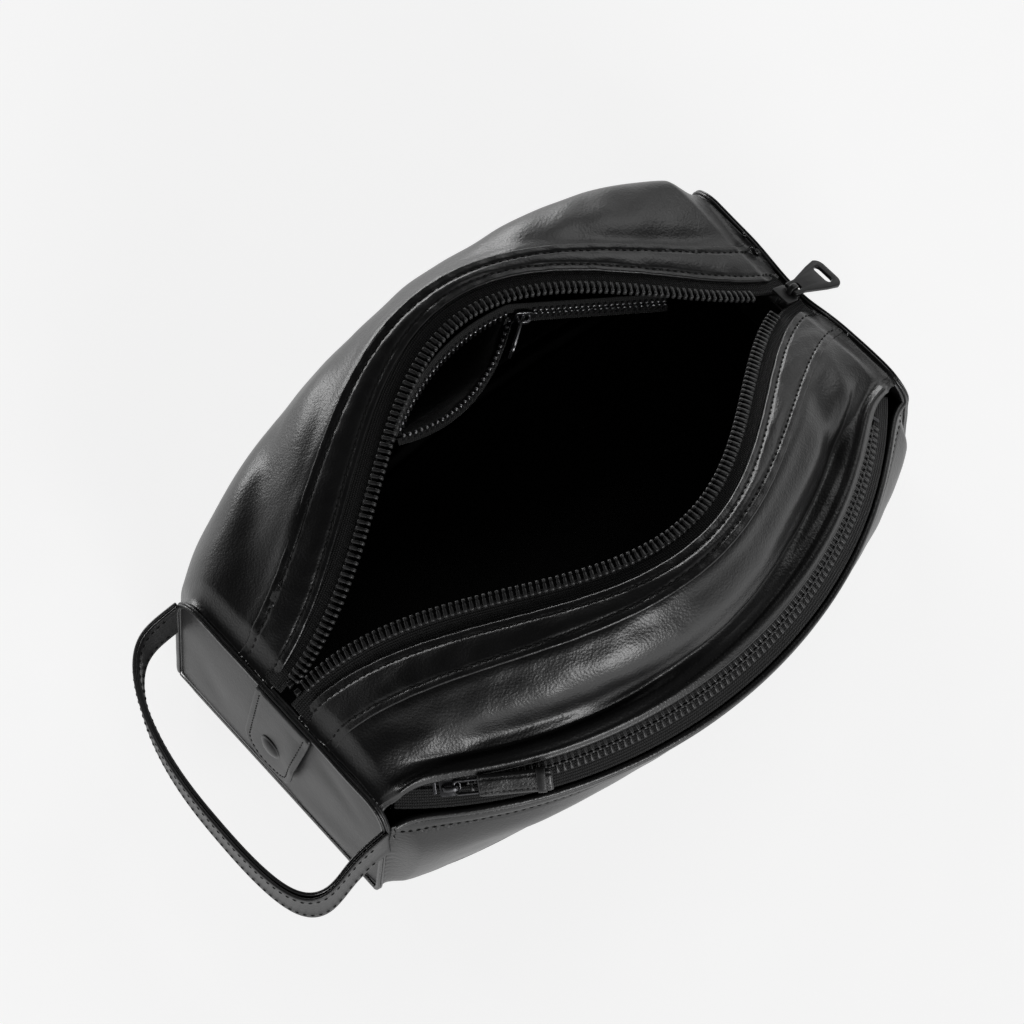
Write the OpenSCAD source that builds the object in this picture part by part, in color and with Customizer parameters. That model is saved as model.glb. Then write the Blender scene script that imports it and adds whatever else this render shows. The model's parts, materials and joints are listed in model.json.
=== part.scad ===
// Soft leather kit bag, open at the top, with a front pocket and a side carrying strap.
// X runs along the bag, -Y is the pocket side, +Z is up and Z = 0 is the floor.
// The origin is the middle of the underside.
// Every soft wall is stretched over rails. A rail is a line along the bag that gives
// y and z at s, where s runs from -1 at the strap end to 1 at the slider end.

/* [Body] */
// Half of the length along the top of the end panels
half_len = 131.5; // [125:0.5:140]
// How much further each end panel stands out at the floor
end_flare = 5; // [3:0.5:8]
// Height of the end panels
end_h = 70.5; // [68:0.5:72]
// Half of the width of the end panels
end_half_w = 60; // [59:0.5:61]
// Radius of the upper corners of the end panels
end_r_top = 13; // [10:1:16]
// Radius of the lower corners of the end panels
end_r_low = 10; // [8:1:12]
// Thickness of the body leather
leather_t = 1.6; // [1.2:0.1:1.8]
// Thickness of the lining cloth
lining_t = 0.5; // [0.4:0.1:0.6]

/* [Base] */
// Thickness of the stiffening board in the base
board_t = 1.6; // [1:0.2:2]
// Half of the base width at its ends
base_half_w = 48; // [46:0.5:49]
// How much the base widens at its middle
base_bow = 21; // [18:1:22]

/* [Main zip] */
// Distance from tooth to tooth along one side of the main zip
tooth_pitch = 2.5; // [2.4:0.1:3.2]
// How far a tooth stands out from its tape
tooth_reach = 3; // [2.6:0.1:3.4]
// Height of a tooth
tooth_h = 2; // [1.6:0.1:2.4]
// Share of the half length that the teeth cover towards the strap end
teeth_left = 0.94; // [0.9:0.01:0.95]
// Share of the half length that the teeth cover towards the slider end
teeth_right = 0.864; // [0.84:0.002:0.88]

/* [Front pocket] */
// Half of the straight distance between the ends of the pocket chain
chain_half = 112; // [108:1:114]
// How far out the pocket chain bows at its middle
chain_bow = 41.5; // [38:0.5:44]
// How much higher the middle of the pocket chain is than its ends
chain_rise = 8; // [6:0.5:10]
// Distance from tooth to tooth in the pocket chain
chain_pitch = 2.6; // [2.4:0.1:3]
// Slope of the pocket zip tapes against the plane of the chain
tape_tilt = 50; // [44:1:54]

/* [Strap] */
// Width of the strap
strap_w = 18; // [15:1:20]
// Full thickness of the strap
strap_t = 3; // [2.4:0.2:3.2]
// How far the strap loop stands out from the end panel
strap_reach = 45; // [40:1:50]
// How much the strap loop droops
strap_droop = 6; // [0:1:10]
// Height of the middle of the strap at its ends
strap_z = 51; // [48:1:54]

/* [End tab] */
// Width of the tab
tab_w = 29; // [26:1:32]
// Length of the tab down the end panel
tab_len = 51.5; // [48:0.5:56]
// Diameter of the stud on the tab
stud_d = 11; // [9:0.5:12]

/* [Main slider] */
// Length of the main puller
puller_len = 25; // [22:1:28]
// Width of the free end of the main puller
puller_w = 15.4; // [13:0.2:17]
// How far the main puller hangs below level
puller_hang = 28; // [26:1:32]

/* [Hidden] */
$fn = 48;
eps = 0.01;
leather = "#1d1d1f";
leather_grey = "#4a4a4c";
cloth = "#0c0c0d";
tooth_black = "#121212";
nickel = "#8f9094";
lean = atan(end_flare / end_h);

// A rail is [y at the middle of both ends, extra y towards +s, bow in y, power of the bow,
// lopsidedness of the bow, z at the ends, extra z towards +s, bow in z, its power].
TEETH = [3.2, 0, 56, 2.2, 0.3, 68, -3, 46, 1];
INNER = [8.5, 0, 58, 1.9, 0.22, 69.4, -2, 46.5, 1];
SEAM = [25, 0, 51, 1.7, 0.1, 70.6, -1, 44.5, 0.9];
SHOULDER = [53, 4, 36, 0.75, 0.03, 72, 4, 26.5, 0.8];
BELLY = [60, 0, 34, 0.6, 0, 42, 0, 24, 0.8];
FOOT = [59, 0, 22, 0.7, 0, 10, 0, 2, 1];
HEM = [50, 0, 22, 0.7, 0, 0.4, 0, 0, 1];
BULGE = [39, 0, 48.5, 1.6, 0.02, 73, 0, 30, 0.9];
FOLD = [50, 0, 42, 1.8, 0.02, 72, 0, 15, 1];
POCKET_BELLY = [61, 0, 41, 0.7, 0, 42, 0, 2, 1];
POCKET_FOOT = [59, 0, 27, 0.7, 0, 10, 0, 1, 1];
POCKET_HEM = [51, 0, 33, 0.65, 0, 0.4, 0, 0, 1];
WALL_TOP = [50, 0, 38, 1.5, 0, 61, 0, 18, 1];
WALL_MID = [54, 0, 26, 1.2, 0, 40, 0, 4, 1];
WALL_FOOT = [53, 0, 19, 1, 0, 6, 0, 0, 1];

// The pocket chain is an arc in a plane that rises outwards.
chain_end_y = -61;
chain_end_z = 71;
chain_sag = norm([chain_bow, chain_rise]);
chain_r = (chain_half * chain_half + chain_sag * chain_sag) / (2 * chain_sag);
chain_tilt = -asin(chain_rise / chain_sag);
chain_cy = chain_end_y - chain_bow + chain_r * cos(chain_tilt);
chain_cz = chain_end_z + chain_rise + chain_r * sin(chain_tilt);
chain_angle = asin(chain_half / chain_r);
// The pocket rim runs beside the chain, further out and lower.
rim_out = 6;
rim_drop = 8.3;
rim_r = 1.4;
rim_angle = 43;
pocket_slider_angle = -39;
// How far the end panel under the main slider dips in the middle of its top edge
slider_dip = 6.5;
// How much higher its back corner is
slider_ear = 5;

// The closed stretch of the inner pocket's zip runs straight from near to far, and the
// open stretch runs the other way.
inner_near = [30, 55, 96];
inner_far = [84, 25, 80];
inner_open_end = [-37, 43, 98];
inner_pitch = 2.4;
inner_slider_at = mix(inner_near, inner_far, 0.08);

// ---- Rails and sheets ----

function bow(s) = max(0, 1 - s * s);

function end_x(z) = half_len + end_flare * (1 - z / end_h);

function rail(k, s, side = 1) =
    let (
        y = k[0] + k[1] * s + k[2] * pow(bow(s), k[3]) * (1 + k[4] * s),
        z = k[5] + k[6] * s + k[7] * pow(bow(s), k[8])
    )
    [s * end_x(z), side * y, z];

function steps(n, limit) = [for (i = [0:n]) limit * sin(90 * (2 * i / n - 1))];

// A smooth curve through the points p, n steps to a span
function smooth(p, n) =
    let (
        last = len(p) - 1,
        q = concat([2 * p[0] - p[1]], p, [2 * p[last] - p[last - 1]])
    )
    concat(
        [for (i = [1:last], j = [0:n - 1])
            let (t = j / n)
            0.5 * (2 * q[i] + (q[i + 1] - q[i - 1]) * t
                + (2 * q[i - 1] - 5 * q[i] + 4 * q[i + 1] - q[i + 2]) * t * t
                + (3 * q[i] - q[i - 1] - 3 * q[i + 1] + q[i + 2]) * t * t * t)],
        [p[last]]
    );

function unit(v) = v / norm(v);

function mix(a, b, t) = a + t * (b - a);

function facing_out(g, i, j) =
    let (
        rows = len(g) - 1,
        cols = len(g[0]) - 1,
        along = g[min(i + 1, rows)][j] - g[max(i - 1, 0)][j],
        across = g[i][min(j + 1, cols)] - g[i][max(j - 1, 0)]
    )
    unit(cross(along, across));

function joined(lists) = [for (one = lists) each one];

// A closed sheet under the grid g: its outer face lies at depth under the grid,
// and flip is -1 where the grid's rows and columns turn the other way.
module sheet(g, thick, depth = 0, flip = 1) {
    rows = len(g);
    cols = len(g[0]);
    count = rows * cols;
    normals = [for (i = [0:rows - 1]) [for (j = [0:cols - 1]) flip * facing_out(g, i, j)]];
    outer = [for (i = [0:rows - 1], j = [0:cols - 1]) g[i][j] - depth * normals[i][j]];
    inner = [for (i = [0:rows - 1], j = [0:cols - 1])
        g[i][j] - (depth + thick) * normals[i][j]];
    skins = joined([for (i = [0:rows - 2], j = [0:cols - 2])
        let (a = i * cols + j, b = a + cols)
        [[a, a + 1, b + 1], [a, b + 1, b],
         [count + a, count + b + 1, count + a + 1], [count + a, count + b, count + b + 1]]]);
    side_a = joined([for (i = [0:rows - 2])
        let (a = i * cols, b = a + cols)
        [[a, b, count + b], [a, count + b, count + a]]]);
    side_b = joined([for (i = [0:rows - 2])
        let (a = i * cols + cols - 1, b = a + cols)
        [[a, count + b, b], [a, count + a, count + b]]]);
    row_a = joined([for (j = [0:cols - 2])
        let (a = j, b = j + 1)
        [[a, count + b, b], [a, count + a, count + b]]]);
    row_b = joined([for (j = [0:cols - 2])
        let (a = (rows - 1) * cols + j, b = a + 1)
        [[a, b, count + b], [a, count + b, count + a]]]);
    faces = concat(skins, side_a, side_b, row_a, row_b);
    turned = flip < 0 ? faces : [for (f = faces) [f[2], f[1], f[0]]];
    polyhedron(concat(outer, inner), turned, convexity = 8);
}

// A wall across the rails of ks, with n steps between two rails
function wall_grid(ks, side, limit, n, rows = 24) =
    [for (s = steps(rows, limit)) smooth([for (k = ks) rail(k, s, side)], n)];

// ---- Pocket chain frame ----

module in_chain_plane() {
    translate([0, chain_cy, chain_cz]) rotate([chain_tilt, 0, 0]) children();
}

// Puts the children at an angle along the chain: X along it, Y up the tape, Z off its face
module on_chain(angle) {
    in_chain_plane()
        rotate([0, 0, angle])
            translate([0, -chain_r, 0]) rotate([tape_tilt, 0, 0]) children();
}

// Sweeps the children, drawn as (radius, height), along the arc
module along_chain(angle) {
    in_chain_plane()
        rotate([0, 0, -90 - angle]) rotate_extrude(angle = 2 * angle, $fn = 180) children();
}

// A strip of tape from up_a to up_b, measured up the tape from the chain
module tape_section(up_a, up_b, thick) {
    translate([chain_r, 0])
        rotate([0, 0, 180 - tape_tilt])
            translate([up_a, -thick / 2]) square([up_b - up_a, thick]);
}

// The place at s on an arc of radius r, h above the chain's plane, held out to least_y
function on_arc(s, r, h, least_y) =
    let (
        x = s * end_x(end_h),
        reach = sqrt(r * r - x * x)
    )
    [x,
     min(chain_cy - reach * cos(chain_tilt) - h * sin(chain_tilt), -least_y),
     chain_cz - reach * sin(chain_tilt) + h * cos(chain_tilt)];

function beside_chain(s, up, off, least_y) =
    on_arc(s, chain_r - up * cos(tape_tilt) + off * sin(tape_tilt),
        up * sin(tape_tilt) + off * cos(tape_tilt), least_y);

// ---- Outer shell ----

function corner(r, cy, cz, a0, a1) =
    [for (i = [0:6]) let (a = a0 + (a1 - a0) * i / 6) [cy + r * cos(a), cz + r * sin(a)]];

// Outline of an end panel as (y, z), with a dip in the middle of its top edge
// and its back upper corner raised by ear
function end_outline(grow, dip, ear) =
    let (
        w = end_half_w + grow,
        top = end_h + grow,
        low = 0.4,
        rt = end_r_top + grow,
        rl = end_r_low,
        edge = [for (y = [28:-7:-28])
            [y, top - dip * (1 + cos(180 * y / 28)) / 2 + ear * pow(max(0, y / 40), 2)]]
    )
    concat(
        corner(rl, w - rl, low + rl, -90, 0), corner(rt, w - rt, top + ear - rt, 0, 90),
        edge,
        corner(rt, rt - w, top - rt, 90, 180), corner(rl, rl - w, low + rl, 180, 270)
    );

// Lays a flat outline on an end panel: side is -1 or 1, off is how far out it starts
module on_end(side, off, thick) {
    translate([side * (half_len + end_flare), 0, 0])
        rotate([0, -side * lean, 0])
            translate([side > 0 ? off : -off - thick, 0, 0])
                rotate([90, 0, 90]) linear_extrude(thick) children();
}

module base_outline(inset) {
    n = 20;
    limit = 0.985;
    w = base_half_w - inset;
    polygon(concat(
        [for (i = [0:n]) let (s = limit * (2 * i / n - 1))
            [s * (half_len + end_flare - inset), -w - base_bow * 1.4 * pow(bow(s), 0.75)]],
        [for (i = [0:n]) let (s = limit * (1 - 2 * i / n))
            [s * (half_len + end_flare - inset), w + base_bow * pow(bow(s), 0.75)]]
    ));
}

module base_panel() {
    color(leather) linear_extrude(leather_t) base_outline(0.5);
}

module base_board() {
    color("#6b5b45")
        translate([0, 0, leather_t + 0.2]) linear_extrude(board_t) base_outline(2.5);
}

module lining_base() {
    color(cloth)
        translate([0, 0, leather_t + board_t + 0.4])
            linear_extrude(lining_t) base_outline(3.5);
}

module back_panel() {
    grid = [for (s = steps(26, 0.978))
        let (
            seam = rail(SEAM, s) + [0, 1, -0.3],
            points = concat([seam], [for (k = [SHOULDER, BELLY, FOOT, HEM]) rail(k, s)])
        )
        smooth(points, 3)];
    color(leather) sheet(grid, leather_t);
}

// The flat band above the pocket's zip, measured up its tape
band_low = 4.4;
band_top = 8;

module front_top_panel() {
    grid = [for (s = steps(26, 0.978))
        let (
            seam = rail(SEAM, s, -1) + [0, -1, -0.3],
            bulge = rail(BULGE, s, -1),
            fold = rail(FOLD, s, -1),
            band = beside_chain(s, band_top, leather_t + 0.9, end_half_w - 5),
            edge = beside_chain(s, band_low, leather_t + 0.9, end_half_w - 4)
        )
        smooth([seam, bulge, fold, band, edge], 3)];
    color(leather) sheet(grid, leather_t, 0, -1);
}

module front_pocket_panel() {
    grid = [for (s = steps(26, 0.978))
        let (
            top = on_arc(s, chain_r + rim_out + 0.6, -rim_drop - 2.6, end_half_w + 0.3),
            low = [for (k = [POCKET_BELLY, POCKET_FOOT, POCKET_HEM]) rail(k, s, -1)]
        )
        smooth(concat([top], low), 3)];
    color(leather) sheet(grid, leather_t, 0, -1);
}

module left_end_panel() {
    color(leather_grey)
        difference() {
            on_end(-1, -leather_t, leather_t) polygon(end_outline(0, 0, 0));
            stud_hole();
        }
}

module right_end_panel() {
    color(leather_grey) on_end(1, -leather_t, leather_t) polygon(end_outline(0, slider_dip, slider_ear));
}

// The turned and bound edge where an end panel meets the walls
module welt_outline(dip, ear) {
    difference() {
        polygon(end_outline(1.2, dip, ear));
        polygon(end_outline(-2, dip, ear));
        translate([-end_half_w - 5, -5]) square([2 * end_half_w + 10, 12]);
    }
}

module left_seam_welt() {
    color(leather)
        difference() {
            on_end(-1, 0.1, 2.2) welt_outline(0, 0);
            for (side = [-1, 1])
                translate([-half_len - 10, side * 60.2 - 2, strap_z - strap_w / 2 - 0.5])
                    cube([14, 4, strap_w + 1]);
        }
}

module right_seam_welt() {
    color(leather) on_end(1, 0.1, 2.2) welt_outline(slider_dip, slider_ear);
}

// ---- Main zip ----

module zip_facing(side) {
    grid = [for (s = steps(26, 0.975)) smooth([rail(INNER, s, side), rail(SEAM, s, side)], 4)];
    color(leather) sheet(grid, leather_t - 0.2, 0, side);
}

module front_zip_facing() {
    zip_facing(-1);
}

module back_zip_facing() {
    zip_facing(1);
}

// How far the tape lies under the middle of the teeth, and under the facing at its hidden edge
tape_drop = 0.8;
hidden_drop = 3;
// Share of the facing's width that covers the tape
covered = 0.35;
tape_t = 0.5;

module main_tape(side) {
    grid = [for (s = steps(26, 0.97))
        let (
            edge = rail(TEETH, s, side) - [0, 0, tape_drop],
            hidden = mix(rail(INNER, s, side), rail(SEAM, s, side), covered)
                - [0, 0, hidden_drop]
        )
        smooth([edge, hidden], 3)];
    color(cloth) sheet(grid, tape_t, 0, side);
}

module front_main_tape() {
    main_tape(-1);
}

module back_main_tape() {
    main_tape(1);
}

function slope(s, side) = (rail(TEETH, s + 0.001, side) - rail(TEETH, s - 0.001, side)) / 0.002;

// Places along a lip, one tooth pitch apart. The front row is half a pitch behind.
function tooth_places(side) =
    let (
        half_step = tooth_pitch / 2 / norm(slope(-teeth_left, side)),
        first = -teeth_left + (side < 0 ? half_step : 0)
    )
    [for (s = first; s < teeth_right; s = s + tooth_pitch / norm(slope(s, side))) s];

// How far the teeth stand off the edge of their tape, and the length of one along it
tooth_off = 0.6;
tooth_l = 1.1;

module main_teeth(side) {
    for (s = tooth_places(side)) {
        d = slope(s, side);
        color(tooth_black)
            translate(rail(TEETH, s, side))
                rotate([0, -atan2(d[2], norm([d[0], d[1]])), atan2(d[1], d[0])])
                    translate([-tooth_l / 2, side > 0 ? -tooth_reach - tooth_off : tooth_off,
                               -tooth_h / 2])
                        cube([tooth_l, tooth_reach, tooth_h]);
    }
}

module front_main_teeth() {
    main_teeth(-1);
}

module back_main_teeth() {
    main_teeth(1);
}

module main_top_stops() {
    for (side = [-1, 1])
        color(nickel)
            translate(rail(TEETH, -teeth_left - 0.016, side) + [0, -side * 1.3, 0])
                translate([-1.2, -1.1, -1.2]) cube([2.4, 2.2, 2.4]);
}

// The slider end of the main zip: X runs out over the end panel, down the slope of the lips
slider_s = 0.945;
slope_from = rail(TEETH, 0.9, 1);
slope_to = rail(TEETH, 0.95, 1);
slider_tilt = atan2(slope_from[2] - slope_to[2], slope_to[0] - slope_from[0]);

module at_main_slider() {
    at = rail(TEETH, slider_s, 1);
    translate([at[0], 0, at[2]]) rotate([0, slider_tilt, 0]) children();
}

module main_bottom_stop() {
    color(nickel) at_main_slider() translate([5.3, -3, -1.2]) cube([0.8, 6, 2.4]);
}

// A zip slider about its nose: two plates, the wedge that parts the teeth, and the arch
// that the puller hangs on. X is the way it is pulled shut from.
module slider_body(len_x, wide, gap, plate) {
    for (z = [gap / 2, -gap / 2 - plate])
        translate([0, 0, z])
            linear_extrude(plate)
                polygon([[-len_x / 2, -wide / 2], [len_x * 0.15, -wide / 2],
                         [len_x / 2, -wide * 0.3], [len_x / 2, wide * 0.3],
                         [len_x * 0.15, wide / 2], [-len_x / 2, wide / 2]]);
    translate([-len_x * 0.38, 0, -gap / 2 - eps]) cylinder(d = wide / 6, h = gap + 2 * eps);
}

module slider_arch(x0, x1, base_z, rise, wide, thick) {
    translate([0, wide / 2, 0])
        rotate([90, 0, 0])
            linear_extrude(wide)
                difference() {
                    union() {
                        translate([x0, base_z]) square([x1 - x0, rise * 0.6]);
                        translate([(x0 + x1) / 2, base_z + rise * 0.6])
                            low_arch((x1 - x0) / 2, rise * 0.4);
                    }
                    translate([x0 + thick, base_z - eps])
                        square([x1 - x0 - 2 * thick, rise - thick + eps]);
                }
}

// A low arch outline, half_span either way and rise high
module low_arch(half_span, rise) {
    polygon([for (i = [0:12]) let (a = 180 * i / 12) [half_span * cos(a), rise * sin(a)]]);
}

main_gap = 2.6;
main_plate = 1.1;
main_axis_x = 2.4;
main_axis_z = main_gap / 2 + main_plate + 1.35;

module main_slider() {
    color(tooth_black)
        at_main_slider() {
            slider_body(10, 9, main_gap, main_plate);
            slider_arch(main_axis_x - 2.6, main_axis_x + 2.6, main_gap / 2 + main_plate - eps,
                4, 2.4, 1.2);
        }
}

// Outline of a flared puller whose pivot is at the origin, X towards its free end
module puller_outline(length, near_w, far_w, slot_l, slot_w, eye_l, eye_w) {
    r = far_w * 0.26;
    difference() {
        union() {
            polygon([[-0.8, -near_w / 2], [5, -near_w / 2], [length - r * 1.4, -far_w / 2],
                     [length - r, -far_w / 2], [length - r, far_w / 2],
                     [length - r * 1.4, far_w / 2], [5, near_w / 2], [-0.8, near_w / 2]]);
            for (side = [-1, 1])
                translate([length - r, side * (far_w / 2 - r)]) circle(r = r);
            translate([length - r - eps, r - far_w / 2]) square([r + eps, far_w - 2 * r]);
        }
        for (side = [-1, 1])
            translate([length - r * 1.3, side * (slot_l - slot_w) / 2]) circle(d = slot_w);
        translate([length - r * 1.3 - slot_w / 2, (slot_w - slot_l) / 2])
            square([slot_w, slot_l - slot_w]);
        translate([0.8, -eye_w / 2]) square([eye_l, eye_w]);
    }
}

module main_puller() {
    color(tooth_black)
        at_main_slider()
            translate([main_axis_x, 0, main_axis_z])
                rotate([0, puller_hang - slider_tilt, 0])
                    translate([0, 0, -0.8])
                        linear_extrude(1.6)
                            puller_outline(puller_len, 7, puller_w, 9, 3.6, 3.4, 3.2);
}

// ---- Front pocket ----

module pocket_rim() {
    color(leather)
        along_chain(rim_angle)
            translate([chain_r + rim_out, -rim_drop]) circle(r = rim_r);
}

module pocket_upper_tape() {
    color(cloth) along_chain(chain_angle + 1) tape_section(2.9, 6.2, tape_t);
}

module pocket_lower_tape() {
    color(cloth) along_chain(chain_angle + 1) tape_section(-8, -2.9, tape_t);
}

chain_step = chain_pitch / chain_r * 180 / PI;

module pocket_teeth(first, up_a, up_b) {
    for (a = [first:chain_step:chain_angle - 1])
        color(tooth_black)
            on_chain(a) translate([-0.55, up_a, -0.9]) cube([1.1, up_b - up_a, 1.8]);
}

module pocket_upper_teeth() {
    pocket_teeth(pocket_slider_angle + 2.2, 0.8, 2.8);
}

module pocket_lower_teeth() {
    pocket_teeth(pocket_slider_angle + 2.2 + chain_step / 2, -2.8, -0.8);
}

module pocket_end_stops() {
    for (a = [-chain_angle + 0.4, chain_angle])
        color(nickel) on_chain(a) translate([-0.7, -2.8, -1.1]) cube([1.4, 5.6, 2.2]);
}

pocket_gap = 2.4;
pocket_plate = 0.8;
pocket_axis_z = pocket_gap / 2 + pocket_plate + 1.1;

module pocket_slider() {
    color(nickel)
        on_chain(pocket_slider_angle) {
            slider_body(8, 7.2, pocket_gap, pocket_plate);
            slider_arch(-3.2, 3.6, pocket_gap / 2 + pocket_plate - eps, 3, 2, 1);
        }
}

module at_pocket_puller() {
    on_chain(pocket_slider_angle) translate([1.6, 0, pocket_axis_z]) children();
}

// A wire loop: a crossbar in the slider's arch, two sides and the far bar
module pocket_puller() {
    color(nickel)
        at_pocket_puller() {
            rotate([90, 0, 0]) translate([0, 0, -3]) cylinder(d = 1.4, h = 6);
            for (y = [-3.3, 2])
                translate([-0.7, y, -0.5]) cube([12.7, 1.3, 1.3]);
            translate([12, -3.3, -0.5]) cube([1.3, 6.6, 1.3]);
        }
}

module pocket_pull_tab() {
    color(leather)
        at_pocket_puller()
            difference() {
                translate([9.2, -3.9, -0.95]) cube([26, 7.8, 2.3]);
                translate([9, -3.6, -0.75]) cube([4.6, 7.2, 1.9]);
                translate([8, -1.9, -0.75]) cube([5, 3.8, 4]);
            }
}

module pocket_pull_clip() {
    color(nickel)
        at_pocket_puller()
            difference() {
                translate([30, -4.4, -1.4]) cube([3.4, 8.8, 3.2]);
                translate([29, -3.95, -1]) cube([6, 7.9, 2.4]);
            }
}

module pocket_lining() {
    color(cloth) sheet(wall_grid([WALL_TOP, WALL_MID, WALL_FOOT], -1, 0.94, 4, 20),
        lining_t, 0, -1);
}

// ---- Lining ----

// How far the lining hangs behind the leather at the zip, and off the pocket's own lining
lining_depth = 4;
lining_gap = 1.2;

module lining_front() {
    grid = [for (s = steps(24, 0.955))
        smooth([
            rail(INNER, s, -1) - [0, 0, lining_depth],
            rail(SEAM, s, -1) - [0, 0, lining_depth + 0.6],
            rail(BULGE, s, -1) + [0, 3, -lining_depth - 0.6],
            rail(FOLD, s, -1) + [0, 5.5, -lining_depth - 2],
            rail(WALL_MID, s, -1) + [0, lining_gap, 0],
            rail(WALL_FOOT, s, -1) + [0, lining_gap, 0]
        ], 3)];
    color(cloth) sheet(grid, lining_t, 0, -1);
}

module lining_back() {
    color(cloth) sheet(wall_grid([INNER, SEAM, SHOULDER, BELLY, FOOT], 1, 0.955, 3),
        lining_t, lining_depth);
}

module lining_left() {
    color(cloth)
        difference() {
            on_end(-1, -leather_t - 0.3 - lining_t, lining_t)
                translate([7 - end_half_w, 5]) square([2 * (end_half_w - 7), end_h - 14]);
            on_stud(-6) cylinder(d = 10, h = 12);
        }
}

module lining_right() {
    color(cloth)
        on_end(1, -leather_t - 0.3 - lining_t, lining_t)
            translate([7 - end_half_w, 5]) square([2 * (end_half_w - 7), end_h - 14]);
}

// ---- Inner pocket on the back wall ----

// Where the open stretch is parted, its two rows stand [back, up] of the straight line.
upper_away = [7, 1];
lower_away = [-9, -4];

function open_row(t, away) =
    mix(inner_near, inner_open_end, t) + 4 * t * (1 - t) * [0, away[0], away[1]];

// One row of the inner zip from its open end, at t = 0, to its closed end, at t = 1
function inner_row(t, away) =
    t < 0.5
        ? open_row(1 - 2 * t, away)
        : mix(inner_near, inner_far, 2 * t - 1);

inner_cols = 16;
// How far the tape's edge is from the middle of its chain, clear of the slider
inner_tape_low = 3.5;
// Where the pocket's cloth starts under the lower row, and how high above the floor it is
// sewn to the lining, a little behind the back wall
panel_top = [0, 2, -5.2];
panel_foot_z = 36;
panel_behind = 13;
// The cloth is wider at its foot, and its foot is moved towards the strap end.
panel_spread = 1.25;
panel_shift = -6;

module inner_pocket_panel() {
    rows = 5;
    grid = [for (i = [0:inner_cols])
        let (
            top = inner_row(i / inner_cols, lower_away) + panel_top,
            x = top[0] * panel_spread + panel_shift,
            low = [x, rail(BELLY, x / half_len)[1] - panel_behind, panel_foot_z]
        )
        [for (j = [0:rows]) mix(top, low, j / rows)]];
    color(cloth) sheet(grid, 0.8);
}

module inner_tape(up, away) {
    grid = [for (i = [0:inner_cols])
        let (p = inner_row(i / inner_cols, away))
        [p + [0, 0.25, up * inner_tape_low], p + [0, up * 1.2 + 0.4, up * 6.4]]];
    color(cloth) sheet(grid, tape_t, 0, up);
}

module inner_upper_tape() {
    inner_tape(1, upper_away);
}

module inner_lower_tape() {
    inner_tape(-1, lower_away);
}

inner_dir = unit(inner_far - inner_near);
inner_turn = atan2(inner_dir[1], inner_dir[0]);
inner_dip = -asin(inner_dir[2]);
inner_len = norm(inner_far - inner_near);
inner_open_len = norm(inner_open_end - inner_near);

module closed_teeth(from, low, high) {
    for (d = [from:inner_pitch:inner_len])
        color(nickel)
            translate(inner_near + d * inner_dir)
                rotate([0, inner_dip, inner_turn])
                    translate([-0.5, -0.8, low]) cube([1, 1.6, high - low]);
}

module open_teeth(away, low, high) {
    count = floor(inner_open_len / inner_pitch);
    for (i = [1:count]) {
        a = open_row(i / (count + 1), away);
        b = open_row(i / (count + 1) + 0.01, away);
        color(nickel)
            translate(a)
                rotate([0, 0, atan2(b[1] - a[1], b[0] - a[0])])
                    translate([-0.5, -0.8, low]) cube([1, 1.6, high - low]);
    }
}

module inner_upper_teeth() {
    closed_teeth(9, 0.7, 2);
    open_teeth(upper_away, -0.6, 2);
}

module inner_lower_teeth() {
    closed_teeth(9 + inner_pitch / 2, -2, -0.7);
    open_teeth(lower_away, -2, 0.6);
}

inner_gap = 2.2;
inner_plate = 0.7;
inner_hang = -118;

// The inner slider's frame: X along the chain, Z out of the pocket's face
module at_inner_slider() {
    translate(inner_slider_at)
        rotate([0, inner_dip, inner_turn]) rotate([90, 0, 0]) children();
}

module inner_slider() {
    color(nickel)
        at_inner_slider() {
            slider_body(8, 6.4, inner_gap, inner_plate);
            slider_arch(-3.4, 2.4, inner_gap / 2 + inner_plate - eps, 3.1, 2, 0.9);
        }
}

module inner_puller() {
    color(nickel)
        at_inner_slider()
            translate([-1.2, 0, inner_gap / 2 + inner_plate + 1.05])
                rotate([0, inner_hang, 0])
                    translate([0, 0, -0.5])
                        linear_extrude(1) puller_outline(17, 4.6, 8.6, 4.4, 2, 2.9, 2.4);
}

// ---- End tab and stud ----

// Height of the tab's top edge, which is sewn under the welt
tab_top_z = 66;

// The stud's place: down from the tab's top, and towards the back
stud_drop = 32;
stud_y = 2;
// The tab is turned about its stud, so that its tip points a little to the back.
tab_turn = 8.5;

module tab_outline() {
    r = tab_w / 2 - 1;
    low = tab_top_z - tab_len + r;
    translate([stud_y, tab_top_z - stud_drop])
        rotate(tab_turn)
            translate([0, stud_drop - tab_top_z])
                union() {
                    translate([0, low]) circle(r = r);
                    polygon([[-tab_w / 2, tab_top_z], [-r, low], [r, low],
                             [tab_w / 2, tab_top_z]]);
                }
}

module end_tab() {
    color(leather_grey)
        difference() {
            on_end(-1, 0.2, leather_t) tab_outline();
            stud_hole();
        }
}

module stud_hole() {
    on_stud(-6) cylinder(d = 2.7, h = 12);
}

module on_stud(off) {
    translate([-half_len - end_flare, 0, 0])
        rotate([0, lean, 0])
            translate([-off, stud_y, tab_top_z - stud_drop]) rotate([0, -90, 0]) children();
}

module stud_cap() {
    dome_h = 2;
    dome_r = (stud_d * stud_d / 4 + dome_h * dome_h) / (2 * dome_h);
    color(tooth_black)
        on_stud(leather_t + 0.3)
            intersection() {
                translate([0, 0, dome_h - dome_r]) sphere(r = dome_r, $fn = 64);
                cylinder(d = stud_d, h = dome_h + 1);
            }
}

module stud_post() {
    color(nickel) on_stud(-leather_t - 0.6) cylinder(d = 2.6, h = 2 * leather_t + 0.85);
}

module stud_washer() {
    color(nickel)
        on_stud(-leather_t - 1.8)
            difference() {
                cylinder(d = 9, h = 0.8);
                translate([0, 0, -1]) cylinder(d = 1.6, h = 3);
            }
}

// ---- Carrying strap ----

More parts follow.
